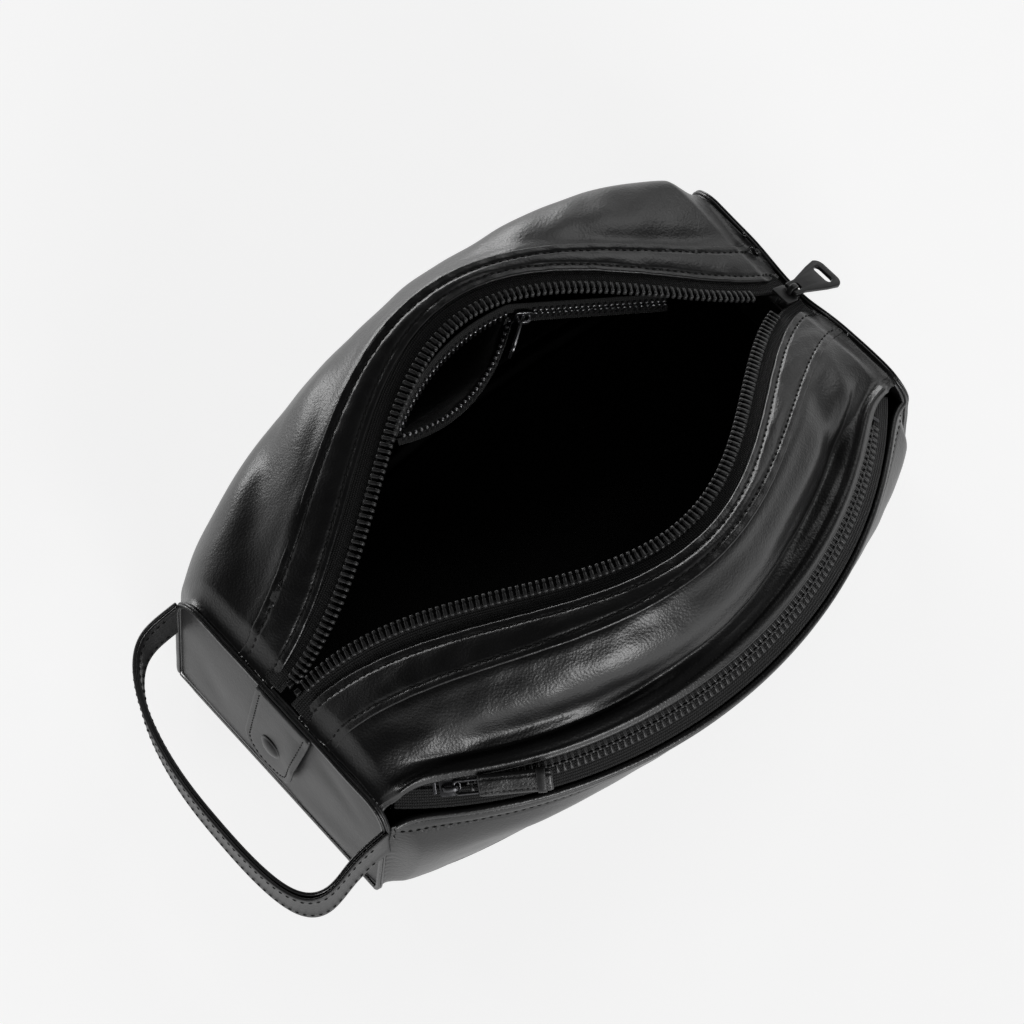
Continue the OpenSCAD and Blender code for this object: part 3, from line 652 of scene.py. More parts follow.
# Each fold is from one place to another, both (x, how far down the wall), width, height.
BACK_FOLDS = [
    ((-112, 18), (-58, 40), 9, -2.2), ((-86, 6), (-46, 22), 8, 0.9),
    ((52, 5), (124, 10), 5, -1.4), ((60, 15), (118, 26), 9, 1.2),
    ((20, 30), (70, 52), 12, -1.0), ((-30, 70), (40, 78), 14, -0.8)]
FRONT_TOP_FOLDS = [
    ((-122, 10), (-84, 24), 7, -1.2), ((-60, 10), (-20, 22), 10, 0.9),
    ((28, 20), (66, 32), 9, -1.1), ((96, 4), (84, 34), 7, -1.3),
    ((112, 6), (104, 28), 5, 0.8), ((-10, 6), (48, 12), 5, -0.5)]
POCKET_FOLDS = [
    ((-118, 22), (-70, 40), 12, -1.0), ((60, 20), (104, 46), 12, -1.1),
    ((-20, 52), (50, 60), 12, 0.8)]
END_FOLDS = [
    ((-48, 44), (-20, 60), 5, -0.7), ((-52, 22), (-10, 8), 7, 0.6),
    ((30, 12), (50, 40), 8, -0.6)]


def back_shape(x, w, p):
    total = creased(0.55 * ripple(p, 46, 2) + 0.14 * ripple(p, 15, 3), x, w, BACK_FOLDS)
    return settled(total + 0.5 * line(w, 6, 3.0), x)


s_wall = spread(ROWS, 0.991)
back_lines = tucked_seam(s_wall, 1) + [rail(k, s_wall) for k in (SHOULDER, BELLY, FOOT, HEM)]
wall("back_wall", back_lines, 110, (0, 1, 0.3), back_shape, BODY, "back_panel")

# The pocket chain is an arc in a plane that rises outwards. Its hinge gives its centre.
CHAIN_CENTRE = pivot("pocket_zip_travel")
CHAIN_UP = unit(np.array(JOINTS["pocket_zip_travel"]["axis"], float))
CHAIN_TILT = math.atan2(-CHAIN_UP[1], CHAIN_UP[2])
CHAIN_HALF = 112.0
CHAIN_END_Y = -61.0
CHAIN_R = math.hypot(CHAIN_HALF, (CHAIN_CENTRE[1] - CHAIN_END_Y) / math.cos(CHAIN_TILT))
TAPE_TILT = math.radians(50)
CHAIN_ANGLE = math.degrees(math.asin(CHAIN_HALF / CHAIN_R))
POCKET_SLIDER_ANGLE = -39.0
RIM_OUT = 6.0
RIM_DROP = 8.3
RIM_GROOVE = 4.2
TAPE_ANGLE = 46.0
SOFT_CORNER = 7.0
BAND_LOW, BAND_TOP = 4.4, 8.0
OVER = np.array([[1, 0, 0], [0, math.cos(CHAIN_TILT), math.sin(CHAIN_TILT)],
                 [0, -math.sin(CHAIN_TILT), math.cos(CHAIN_TILT)]])


def chain_axes(angle):
    """Rows are the directions along the chain, up its tape and off the tape's face."""
    a = math.radians(angle)
    t = TAPE_TILT
    along = np.array([math.cos(a), math.sin(a), 0])
    inwards = np.array([-math.sin(a), math.cos(a), 0])
    flat = np.array([along, inwards * math.cos(t) + np.array([0, 0, math.sin(t)]),
                     -inwards * math.sin(t) + np.array([0, 0, math.cos(t)])])
    return flat @ OVER


def chain_point(angle, out=0.0, height=0.0):
    """A place beside the chain: out from the arc's centre and above the arc's plane."""
    a = np.radians(angle)
    r = CHAIN_R + out
    flat = np.stack([r * np.sin(a), -r * np.cos(a), height + 0 * a], -1)
    return flat @ OVER + CHAIN_CENTRE


def on_chain(angle, x=0.0, up=0.0, off=0.0):
    return chain_point(angle) + np.array([x, up, off]) @ chain_axes(angle)


def on_arc(s, r, h, least_y):
    """The place at s on an arc of radius r, h above the chain's plane, held to least_y."""
    x = s * end_x(END_H)
    reach = np.sqrt(r * r - x * x)
    c, d = math.cos(CHAIN_TILT), math.sin(CHAIN_TILT)
    y = CHAIN_CENTRE[1] - reach * c - h * d
    y = (y - least_y - np.sqrt((y + least_y) ** 2 + SOFT_CORNER**2)) / 2
    return np.stack([x, y, CHAIN_CENTRE[2] - reach * d + h * c], -1)


def beside_chain(s, up, off, least_y):
    c, d = math.cos(TAPE_TILT), math.sin(TAPE_TILT)
    return on_arc(s, CHAIN_R - up * c + off * d, up * d + off * c, least_y)


def front_top_shape(x, w, p):
    """Bulging front leather, with the turned-in roll and the groove above the pocket zip."""
    low = w[:, -1:] - w
    middle = np.clip(1 - (x / 118) ** 2, 0, 1) ** 0.7
    total = creased(0.5 * ripple(p, 40, 21) + 0.15 * ripple(p, 14, 22), x, w, FRONT_TOP_FOLDS)
    total *= np.clip(low / 14, 0, 1)
    roll = 8.5 + 0.8 * np.sin(x / 31) + 2.0 * (x / HALF_LEN)
    total += middle * (0.8 * line(low, roll, 2.0) - 1.2 * line(low, roll + 3.6, 1.3)
                       + 0.5 * line(low, roll + 7.0, 2.2) - 0.5 * line(low, roll - 3.2, 1.2))
    return settled(total + 0.5 * line(w, 6, 3.0), x)


front_top_lines = tucked_seam(s_wall, -1) + [
    rail(BULGE, s_wall, -1), rail(FOLD, s_wall, -1),
    beside_chain(s_wall, BAND_TOP, LEATHER + 0.9, END_HALF_W - 5),
    beside_chain(s_wall, BAND_LOW, LEATHER + 0.7, END_HALF_W - 4)]
wall("front_upper_wall", front_top_lines, 90, (0, -1, 1), front_top_shape, BODY,
     "front_top_panel")


def pocket_shape(x, w, p):
    total = creased(0.45 * ripple(p, 55, 31) + 0.12 * ripple(p, 18, 32), x, w, POCKET_FOLDS)
    total *= np.clip(w / 12, 0, 1)
    total -= 0.45 * line(w, RIM_GROOVE, 0.8)
    return settled(total + 0.35 * line(w, 1.6, 1.6), x)


pocket_lines = [on_arc(s_wall, CHAIN_R + RIM_OUT + 0.6, -RIM_DROP - 2.2, END_HALF_W + 0.3)]
pocket_lines += [rail(k, s_wall, -1) for k in (POCKET_BELLY, POCKET_FOOT, POCKET_HEM)]
pocket_grid, pocket_n = wall("pocket_wall", pocket_lines, 90, (0, -1, 0), pocket_shape,
                             BODY, "front_pocket_panel")
rim_line, rim_normals = at_width(pocket_grid, pocket_n, RIM_GROOVE)
piece("pocket_wall_thread", [stitches(rim_line[12:-12], rim_normals[12:-12])], THREAD,
      "root")

rim_path = on_arc(spread(200, 0.985), CHAIN_R + RIM_OUT, -RIM_DROP, END_HALF_W - 0.3)
rim_path += 0.25 * ripple(rim_path, 30, 41)[:, None] * [0, 0, 1]
piece("pocket_rolled_rim", [sweep(rim_path, (0, 0, 1), oval(2.9, 2.9, 14))], BODY, "root",
      ["pocket_rim"])

# ---------------------------------------------------------------- end panels, base

LEAN = math.atan(END_FLARE / END_H)


def end_place(side, off, y, z):
    """A place on an end panel: off its outer face, at y and a height z up the panel."""
    out = np.array([side * math.cos(LEAN), 0, math.sin(LEAN)])
    up = np.array([-side * math.sin(LEAN), 0, math.cos(LEAN)])
    start = np.array([side * (HALF_LEN + END_FLARE), 0, 0.0])
    return (start + np.asarray(off)[..., None] * out + np.asarray(z)[..., None] * up
            + np.asarray(y)[..., None] * np.array([0, 1.0, 0]))


def end_panel(side, name, node, dip, ear):
    outline = end_outline(0, dip, ear)
    centre = np.array([0, END_H * 0.5])
    share = np.sin(np.linspace(0.02, math.pi / 2, 44))
    flat = centre + share[:, None, None] * (outline - centre)
    y, z = flat[..., 0], flat[..., 1]
    inside = 1 - share[:, None] ** 4
    bulge = 1.1 * inside * (1 - (z / END_H - 0.45) ** 2) * (1 if side < 0 else 0.6)
    p3 = np.stack([0 * y, y, z], -1)
    bulge += inside * (0.35 * ripple(p3, 38, 50 + side) + 0.08 * ripple(p3, 12, 53 + side))
    for fold in END_FOLDS:
        bulge += inside * crease(y, z, *fold)
    face = end_place(side, bulge, y, z)
    back = end_place(side, bulge - LEATHER, y, z)
    rows, cols = y.shape
    verts = np.concatenate([face.reshape(-1, 3), back.reshape(-1, 3)])
    faces = quads(rows, cols, wrap=True).tolist()
    faces += quads(rows, cols, rows * cols, True, True).tolist()
    last = (rows - 1) * cols
    faces += [[last + i, last + (i + 1) % cols, rows * cols + last + (i + 1) % cols,
               rows * cols + last + i] for i in range(cols)]
    faces.append(list(range(cols)))
    faces.append([rows * cols + i for i in range(cols)])
    # The lighter panel leather here is partly painted light on these upright faces.
    piece(name, [(verts, faces)], PANEL_LEATHER_PAINTED_LIGHTER, "root", [node])


end_panel(-1, "left_end_wall", "left_end_panel", 0, 0)
end_panel(1, "right_end_wall", "right_end_panel", SLIDER_DIP, SLIDER_EAR)


def welt(side, name, node, dip, ear):
    """The bound seam round an end panel: two leather edges pressed together."""
    outline = end_outline(-0.4, dip, ear, 420)
    first = int(np.argmax((outline[:, 0] > 50) & (outline[:, 1] > 6)))
    line_yz = np.roll(outline, -first, 0)
    line_yz = line_yz[line_yz[:, 1] > 5.5]
    wave = 0.12 * ripple(np.stack([0 * line_yz[:, 0], line_yz[:, 0], line_yz[:, 1]], -1), 16, 60)
    parts = []
    for off, wide, tall in ((0.15, 1.2, 2.3), (1.2, 0.9, 1.9)):
        path = end_place(side, off + wave, line_yz[:, 0], line_yz[:, 1])
        away = end_place(side, 0 * wave, *(line_yz - [0, END_H / 2]).T) - end_place(
            side, 0 * wave, 0 * wave, 0 * wave)
        parts.append(sweep(path, away, oval(wide, tall, 12, 3.2)))
    piece(name, parts, BODY, "root", [node])


welt(-1, "left_bound_seam", "left_seam_welt", 0, 0)
welt(1, "right_bound_seam", "right_seam_welt", SLIDER_DIP, SLIDER_EAR)


base = across([rail(POCKET_HEM, s_wall, -1), rail(HEM, s_wall)], 40) * [1, 1, 0]
base[..., 2] = 0.27 + 0.12 * ripple(base, 40, 70)
piece("base_leather", [shell(base, outward(base, DOWN), LEATHER - 0.2)], BODY, "root",
      ["base_panel"])

# ---------------------------------------------------------------- linings

LINING_DEPTH = 4.0
FLOOR_HALF_W, FLOOR_INSET, FLOOR_Z = 46.8, 1.2, 4.1


def lining(name, lines, cols, towards, node, thick=0.5, wrinkle=0.35):
    """A cloth wall over the lines, softly wrinkled; wrinkle sets how deep."""
    grid = across(lines, cols)
    waves = wrinkle * (ripple(grid, 24, 80) + 0.35 * ripple(grid, 9, 81))
    grid = grid + outward(grid, towards) * waves[..., None]
    n = outward(grid, towards)
    obj = piece(name, [shell(grid, n, thick, 2)], LINING, "root", [node])


s_lining = spread(120, 0.955)
lining("front_lining", [rail(INNER, s_lining, -1) - [0, 0, LINING_DEPTH],
                        rail(SEAM, s_lining, -1) - [0, 0, LINING_DEPTH + 0.6],
                        rail(BULGE, s_lining, -1) + [0, 3, -LINING_DEPTH - 0.6],
                        rail(FOLD, s_lining, -1) + [0, 5.5, -LINING_DEPTH - 2],
                        rail(WALL_MID, s_lining, -1) + [0, 1.2, 0],
                        rail(WALL_FOOT, s_lining, -1) + [0, 1.2, 0]],
       50, (0, -1, 0.3), "lining_front")
back_grid = across([rail(k, s_lining) for k in (INNER, SEAM, SHOULDER, BELLY, FOOT)], 50)
back_grid = back_grid - LINING_DEPTH * outward(back_grid, (0, 1, 0.3))
lining("back_lining", [back_grid[:, i] for i in range(50)], 50, (0, 1, 0.3),
       "lining_back")
pocket_back_lines = [rail(k, spread(120, 0.94), -1) for k in (WALL_TOP, WALL_MID, WALL_FOOT)]
lining("pocket_back_lining", pocket_back_lines, 40, (0, -1, 0), "pocket_lining",
       0.5, 0.3)


def end_lining(side, name, node):
    y = np.linspace(7 - END_HALF_W, END_HALF_W - 7, 60)
    z = np.linspace(5, END_H - 9, 40)
    yy, zz = np.meshgrid(y, z, indexing="ij")
    grid = end_place(side, 0 * yy - LEATHER - 0.3, yy, zz)
    lining(name, [grid[:, i] for i in range(40)], 40, (side, 0, 0), node,
           0.5, 0.12)


end_lining(-1, "left_lining", "lining_left")
end_lining(1, "right_lining", "lining_right")
s_floor = spread(120, 0.985)
floor_bow = 21 * np.clip(1 - s_floor * s_floor, 0, None) ** 0.75
floor_front, floor_back = -FLOOR_HALF_W - 1.4 * floor_bow, FLOOR_HALF_W + floor_bow
floor_y = floor_front[:, None] + (floor_back - floor_front)[:, None] * np.linspace(0, 1, 40)
floor_x = s_floor * (HALF_LEN + END_FLARE - FLOOR_INSET)
floor_z = FLOOR_Z + 5.5 * np.abs(np.linspace(-1, 1, 40)) ** 14
floor_grid = np.stack([floor_x[:, None] + 0 * floor_y, floor_y, floor_z + 0 * floor_y], -1)
lining("floor_lining", [floor_grid[:, i] for i in range(40)], 40, (0, 0, 1), "lining_base",
       0.5, 0.15)

# ---------------------------------------------------------------- zips


def tooth_part(wide, reach, tall):
    """One moulded tooth: foot round the tape's cord, neck, and a wider head at +Y."""
    h = wide / 2
    outline = np.array([[-h, -1.2], [-h * 0.7, -1.45], [h * 0.7, -1.45], [h, -1.2],
                        [h, reach * 0.42], [h * 0.66, reach * 0.56], [h * 0.66, reach * 0.66],
                        [h * 1.05, reach * 0.8], [h * 0.8, reach], [-h * 0.8, reach],
                        [-h * 1.05, reach * 0.8], [-h * 0.66, reach * 0.66],
                        [-h * 0.66, reach * 0.56], [-h, reach * 0.42]])
    centre = outline.mean(0)
    levels = [(-tall / 2, 0.78), (-tall / 2 * 0.72, 1.0), (tall / 2 * 0.72, 1.0), (tall / 2, 0.78)]
    verts = np.concatenate([
        np.column_stack([centre + k * (outline - centre), np.full(len(outline), z)])
        for z, k in levels])
    n = len(outline)
    faces = quads(4, n, wrap=True).tolist()
    faces.append(list(range(n - 1, -1, -1)))
    faces.append([3 * n + i for i in range(n)])
    return verts, faces


# Where along the rails the main zip's teeth begin and end, and its stops sit.
FIRST_TOOTH_S, LAST_TOOTH_S, STOPS_S = -0.94, 0.868, -0.956


def main_places(side):
    """s of each tooth along a lip, one pitch apart, half a pitch behind on the front."""
    fine = np.linspace(FIRST_TOOTH_S, LAST_TOOTH_S, 4000)
    far = travelled(rail(TEETH, fine, side), 0)
    first = TOOTH_PITCH / 2 if side < 0 else 0
    return np.interp(np.arange(first, far[-1], TOOTH_PITCH), far, fine)


def main_zip(side, word):
    s = spread(ROWS, 0.985)
    edge = rail(TEETH, s, side) - [0, 0, 0.55]
    hidden = rail(INNER, s, side) + 0.35 * (rail(SEAM, s, side) - rail(INNER, s, side))
    grid = across([edge, hidden - [0, 0, 2.6]], 14)
    n = outward(grid, (0, 0, 1))
    w = travelled(grid, 1)
    grid = grid + n * (0.12 * np.cos(w * 2 * math.pi / 1.9))[..., None]
    parts = [shell(grid, n, 0.6, 2)]
    cord_path = rail(TEETH, s, side) + [0, side * 0.5, -0.55]
    parts.append(sweep(cord_path, (0, 0, 1), oval(1.5, 1.5, 8)))
    piece(f"{word}_zip_tape", parts, TAPE, "root", [f"{word}_main_tape"])
    teeth = []
    template = tooth_part(1.35, 3.5, 2.1)
    for place in main_places(side):
        here = rail(TEETH, np.array([place - 0.002, place, place + 0.002]), side)
        along = unit(here[2] - here[0])
        inwards = np.array([0, -side, 0.0])
        inwards = unit(inwards - (inwards @ along) * along)
        teeth.append(moved(template, [along, inwards, np.cross(along, inwards)], here[1]))
    piece(f"{word}_zip_teeth", teeth, TOOTH, "root", [f"{word}_main_teeth"])


main_zip(-1, "front")
main_zip(1, "back")


def slider_parts(long, wide, gap, plate_t, arch, clear=0.0):
    """A zip slider about its middle: two plates with turned edges, the wedge and the arch.
    arch is (first x, last x, height, width, thickness). The wedge leaves the middle free,
    clear to each side, where it has to pass closed teeth."""
    half = long / 2
    outline = np.concatenate([
        arc(-half + 1, -wide / 2 + 1, 1, 180, 270, 5),
        arc(long * 0.12, -wide / 2 + 2.2, 2.2, -90, -50, 5),
        arc(half - 1.4, -wide * 0.3 + 1.4, 1.4, -50, 0, 5),
        arc(half - 1.4, wide * 0.3 - 1.4, 1.4, 0, 50, 5),
        arc(long * 0.12, wide / 2 - 2.2, 2.2, 50, 90, 5),
        arc(-half + 1, wide / 2 - 1, 1, 90, 180, 5)])
    top = plate([outline], plate_t, 0.3)
    parts = [shifted(top, [0, 0, gap / 2]), shifted(top, [0, 0, -gap / 2 - plate_t])]
    for side in (-1, 1):
        x = np.linspace(-half * 0.86, long * 0.2, 8)
        path = np.stack([x, side * (wide / 2 - 0.45) + 0 * x, 0 * x + gap / 2 + 0.25], -1)
        for face in (1, -1):
            parts.append(sweep(path * [1, 1, face], (0, 0, 1), oval(0.8, 0.8, 8, 3)))
    wedge = oval(wide / 3.4, wide / 5, 10)
    for side in (-1, 1):
        levels = side * np.linspace(clear, gap / 2 + 0.1, 4)
        path = np.array([[-long * 0.36, 0, z] for z in levels])
        parts.append(sweep(path, (0, 1, 0), wedge, ends=0))
    x0, x1, rise, arch_w, arch_t = arch
    base = gap / 2 + plate_t - 0.2
    mid, span = (x0 + x1) / 2, (x1 - x0) / 2 - arch_t / 2
    a = np.linspace(0, math.pi, 25)
    power = 2 / 3.2
    c, d = np.cos(a), np.sin(a)
    path = np.stack([mid - span * np.sign(c) * np.abs(c) ** power, 0 * a,
                     base + (rise - arch_t / 2) * d ** power], -1)
    parts.append(sweep(path, (0, 1, 0), oval(arch_t, arch_w, 12, 3.5), ends=0))
    return parts


def puller_outlines(length, near_w, far_w, slot_l, slot_w, eye_l, eye_w):
    """A flared puller whose pivot is at the origin: its outline, slot and eye."""
    r = far_w * 0.26
    n, f = near_w / 2, far_w / 2
    outline = np.concatenate([
        arc(-0.3, -n + 1, 1, 180, 270, 5), [[4.5, -n]], [[length - r * 2.3, -n - (f - n) * 0.72]],
        arc(length - r, r - f, r, -90 + 8, 0, 10), arc(length - r, f - r, r, 0, 90 - 8, 10),
        [[length - r * 2.3, n + (f - n) * 0.72]], [[4.5, n]], arc(-0.3, n - 1, 1, 90, 180, 5)])
    x, half = length - r * 1.3, (slot_l - slot_w) / 2
    slot = np.concatenate([arc(x, half, slot_w / 2, 0, 180, 10),
                           arc(x, -half, slot_w / 2, 180, 360, 10)])
    return [outline, slot, round_box(0.8, 0.8 + eye_l, -eye_w / 2, eye_w / 2, 0.7, 4)]


def turn_y(angle):
    """Rows of the axes after turning x down towards -z by angle, in degrees."""
    a = math.radians(angle)
    return np.array([[math.cos(a), 0, -math.sin(a)], [0, 1, 0], [math.sin(a), 0, math.cos(a)]])


# The main slider's frame: X out over the end panel and down the slope of the lips
slide_axis = -np.array(JOINTS["main_zip_travel"]["axis"], float)
MAIN_AXES = np.array([slide_axis, [0, 1, 0], np.cross(slide_axis, [0, 1, 0])])
MAIN_GAP, MAIN_PLATE = 2.6, 1.1
MAIN_PIVOT = np.array([2.4, 0, MAIN_GAP / 2 + MAIN_PLATE + 1.35])
main_pivot_at = pivot("main_puller_swing")
MAIN_AT = main_pivot_at - MAIN_PIVOT @ MAIN_AXES
PULLER_HANG = 28.0
piece("main_zip_slider",
      [moved(p, MAIN_AXES, MAIN_AT)
       for p in slider_parts(10, 9, MAIN_GAP, MAIN_PLATE, (-0.2, 5.0, 4, 2.4, 1.2))],
      BLACK, "main_slide", ["main_slider"])
hang = turn_y(PULLER_HANG)
puller = plate(puller_outlines(25, 7, 15.4, 9, 3.6, 3.4, 3.2), 1.6, 0.45)
piece("main_zip_puller", [moved(shifted(puller, [0, 0, -0.8]), hang, main_pivot_at)], BLACK,
      "main_pull", ["main_puller"])

box_shape = round_box(-1.2, 1.2, -1.1, 1.1, 0.5)
left_stop = rail(TEETH, np.array([STOPS_S]))[0]
piece("main_end_stops_left",
      [shifted(plate([box_shape], 2.4, 0.4), left_stop * [1, k, 1] + [0, -k * 1.3, -1.2])
       for k in (1, -1)], BLACK, "root", ["main_top_stops"])
piece("main_end_stop_right",
      [moved(plate([round_box(5.3, 6.1, -3, 3, 0.38)], 2.4, 0.3), MAIN_AXES,
             MAIN_AT - 1.2 * MAIN_AXES[2])],
      BLACK, "root", ["main_bottom_stop"])


def pocket_tape(name, node, up_a, up_b, n_cols):
    angles = np.linspace(-TAPE_ANGLE, TAPE_ANGLE, 240)
    ups = np.linspace(up_a, up_b, n_cols)
    grid = np.array([[on_chain(a, 0, u, 0.25 + 0.06 * math.cos(u * 4)) for u in ups]
                     for a in angles])
    n = outward(grid, (0, -1, 1))
    piece(name, [shell(grid, n, 0.5, 2)], TAPE, "root", [node])


pocket_tape("pocket_zip_tape_upper", "pocket_upper_tape", 0.6, 7, 10)
pocket_tape("pocket_zip_tape_lower", "pocket_lower_tape", -8, -0.6, 12)
chain_step = math.degrees(CHAIN_PITCH / CHAIN_R)
POCKET_TOOTH = tooth_part(1.3, 2.3, 1.8)
FIRST_TOOTH_ANGLE = POCKET_SLIDER_ANGLE + 2.2
for word, way, ahead in (("upper", -1, 0), ("lower", 1, chain_step / 2)):
    rows = []
    for angle in np.arange(FIRST_TOOTH_ANGLE + ahead, CHAIN_ANGLE - 1, chain_step):
        axes = chain_axes(angle) * [[1], [way], [1]]
        rows.append(moved(POCKET_TOOTH, axes, on_chain(angle, 0, -way * 1.9, 0)))
    piece(f"pocket_zip_teeth_{word}", rows, TOOTH, "root", [f"pocket_{word}_teeth"])
piece("pocket_zip_stops",
      [moved(plate([round_box(-0.7, 0.7, -2.8, 2.8, 0.5)], 2.2, 0.35), chain_axes(a),
             on_chain(a, 0, 0, -1.1)) for a in (-CHAIN_ANGLE + 0.4, CHAIN_ANGLE)],
      GUNMETAL, "root", ["pocket_end_stops"])
SLIDER_AXES = chain_axes(POCKET_SLIDER_ANGLE)
SLIDER_AT = on_chain(POCKET_SLIDER_ANGLE)
piece("pocket_zip_slider",
      [moved(p, SLIDER_AXES, SLIDER_AT)
       for p in slider_parts(8, 7.2, 2.4, 0.8, (-3.2, 3.6, 3, 2, 1), 0.98)],
      GUNMETAL, "pocket_slide", ["pocket_slider"])
PULL_AT = pivot("pocket_puller_swing")
pull_loop = round_box(0, 12.6, -2.6, 2.6, 1.6, 8)
pull_loop = np.column_stack([pull_loop, 0 * pull_loop[:, 0]])
piece("pocket_pull_loop",
      [moved(sweep(pull_loop, (0, 0, 1), oval(1.25, 1.25, 10), closed=True), SLIDER_AXES,
             PULL_AT)], GUNMETAL, "pocket_pull", ["pocket_puller"])
TAB_HALF = 3.5
tab_x = np.linspace(9.4, 34.9, 60)
tab_y = np.linspace(-TAB_HALF, TAB_HALF, 16)
tab_grid = np.stack([*np.meshgrid(tab_x, tab_y, indexing="ij"), np.zeros((60, 16))], -1)
across_y = tab_grid[..., 1] / TAB_HALF
tab_grid[..., 2] = 1.2 + 0.25 * (1 - across_y**4) - 0.25 * line(np.abs(across_y), 0.72, 0.1)
tab_grid[..., 2] += 0.12 * ripple(tab_grid, 9, 90)
tab_n = outward(tab_grid, (0, 0, 1))
piece("pocket_pull_leather", [moved(shell(tab_grid, tab_n, 2.0), SLIDER_AXES, PULL_AT)], BODY,
      "pocket_pull", ["pocket_pull_tab"])
tab_rows = [stitches(tab_grid[:, j], tab_n[:, j], 2.2, 0.6, 0.42) for j in (2, 13)]
piece("pocket_pull_thread", [moved(p, SLIDER_AXES, PULL_AT) for p in tab_rows], THREAD,
      "pocket_pull")
clip_outline = np.column_stack([oval(8.9, 3.3, 24, 4.5), np.zeros(24)])
clip_path = clip_outline[:, [2, 0, 1]] + [31.7, 0, 0.2]
piece("pocket_pull_end_clip",
      [moved(sweep(clip_path, (1, 0, 0), oval(0.55, 3.4, 10, 4), closed=True), SLIDER_AXES,
             PULL_AT)], BLACK, "pocket_pull", ["pocket_pull_clip"])

# ---------------------------------------------------------------- inner pocket

INNER_NEAR = np.array([30.0, 55, 96])
INNER_FAR = np.array([84.0, 25, 80])
INNER_OPEN_END = np.array([-37.0, 43, 98])
UPPER_AWAY, LOWER_AWAY = (7, 1), (-9, -4)
INNER_HANG = -118
inner_run = INNER_FAR - INNER_NEAR
inner_dir = unit(inner_run)


def open_row(t, away):
    t = np.asarray(t, float)[..., None]
    return INNER_NEAR + t * (INNER_OPEN_END - INNER_NEAR) + 4 * t * (1 - t) * np.array([0, *away])


def inner_row(t, away):
    """One row of the inner zip from its open end, at t = 0, to its closed end, at t = 1."""
    t = np.asarray(t, float)
    closed = INNER_NEAR + (2 * t[..., None] - 1) * inner_run
    return np.where((t < 0.5)[..., None], open_row(np.clip(1 - 2 * t, 0, 1), away), closed)


t_inner = np.linspace(0, 1, 90)
panel_top = inner_row(t_inner, LOWER_AWAY) + [0, 2, -3.4]
low_x = panel_top[:, 0] * 1.25 - 6
panel_low = np.stack([low_x, rail(BELLY, low_x / HALF_LEN)[:, 1] - 8, 36 + 0 * low_x], -1)
panel_lines = [panel_top + f * (panel_low - panel_top) + [0, -2.2 * math.sin(math.pi * f), 0]
               for f in np.linspace(0, 1, 6)]
lining("inner_pocket_cloth", panel_lines, 40, (0, -1, 0), "inner_pocket_panel",
       0.7, 0.6)


def inner_zip(word, up, away, closed_from):
    row = inner_row(t_inner, away)
    grid = across([row + [0, up * 0.2, up * 0.9], row + [0, up * 1.2 + 0.4, up * 5]], 8)
    n = outward(grid, (0, -1, 0))
    piece(f"inner_zip_tape_{word}", [shell(grid, n, 0.5, 2)], TAPE, "root",
          [f"inner_{word}_tape"])
    count = int(np.linalg.norm(INNER_OPEN_END - INNER_NEAR) // INNER_PITCH)
    places = [(INNER_NEAR + d * inner_dir, inner_dir, 1.55)
              for d in np.arange(closed_from, np.linalg.norm(inner_run), INNER_PITCH)]
    for t in np.arange(1, count + 1) / (count + 1):
        here = open_row(t, away)
        places.append((here, unit(open_row(t + 0.01, away) - here), 1.0))
    template = tooth_part(1.1, 2.0, 1.5)
    down = np.array([0, 0, -up * 1.0])
    teeth = []
    for here, along, off in places:
        inwards = unit(down - (down @ along) * along)
        teeth.append(moved(template, [along, inwards, np.cross(along, inwards)],
                           here - off * inwards))
    piece(f"inner_zip_teeth_{word}", teeth, NICKEL, "root", [f"inner_{word}_teeth"])


inner_zip("upper", 1, UPPER_AWAY, 9)
inner_zip("lower", -1, LOWER_AWAY, 9 + INNER_PITCH / 2)
inner_up = unit(np.array([0, 0, 1]) - inner_dir[2] * inner_dir)
INNER_AXES = np.array([inner_dir, inner_up, np.cross(inner_dir, inner_up)])
INNER_AT = INNER_NEAR + 0.08 * inner_run
piece("inner_zip_slider",
      [moved(p, INNER_AXES, INNER_AT)
       for p in slider_parts(8, 6.4, 2.2, 0.7, (-3.4, 2.4, 3.1, 2, 0.9), 0.85)],
      NICKEL, "inner_slide", ["inner_slider"])
inner_plate = plate(puller_outlines(17, 4.6, 8.6, 4.4, 2, 2.9, 2.4), 1.0, 0.3)
inner_plate = moved(shifted(inner_plate, [0, 0, -0.5]), turn_y(INNER_HANG), [0, 0, 0])
piece("inner_zip_puller", [moved(inner_plate, INNER_AXES, pivot("inner_puller_swing"))], NICKEL,
      "inner_pull", ["inner_puller"])

# ---------------------------------------------------------------- end tab and stud

TAB_TOP, TAB_W, TAB_LEN = 66.0, 29.0, 51.5
TAB_TURN = 0.15   # how far the tab leans, per mm down it
TAB_TUCK = 3.4    # how far it runs up under the mouth's edge
STUD_Y, STUD_DROP, STUD_D = 2.0, 32.0, 11.0
STUD_Z = TAB_TOP - STUD_DROP


def tab_outline(grow, count=120):
    r = TAB_W / 2 - 1 + grow
    low = TAB_TOP - TAB_LEN + TAB_W / 2 - 1
    top_w = TAB_W / 2 + grow
    top = TAB_TOP + TAB_TUCK
    p = np.concatenate([[[-top_w, top]], arc(0, low, r, 180, 360, 40), [[top_w, top]]])
    p[:, 0] += TAB_TURN * (STUD_Z - p[:, 1]) + STUD_Y
    far = travelled(p, 0)
    even = np.linspace(0, far[-1], count)
    return interp(even, far, p)


def tab_lift(y, z):
    """How far the tab stands off the end panel: its front edge curls away a little."""
    stud = np.hypot(y - STUD_Y, z - STUD_Z)
    curl = 2.6 * np.clip((3 - y) / 15, 0, 1) ** 2 * np.clip((TAB_TOP - 4 - z) / 24, 0, 1)
    return 1.3 + LEATHER + curl - 0.5 * line(stud, 0, 7.5)


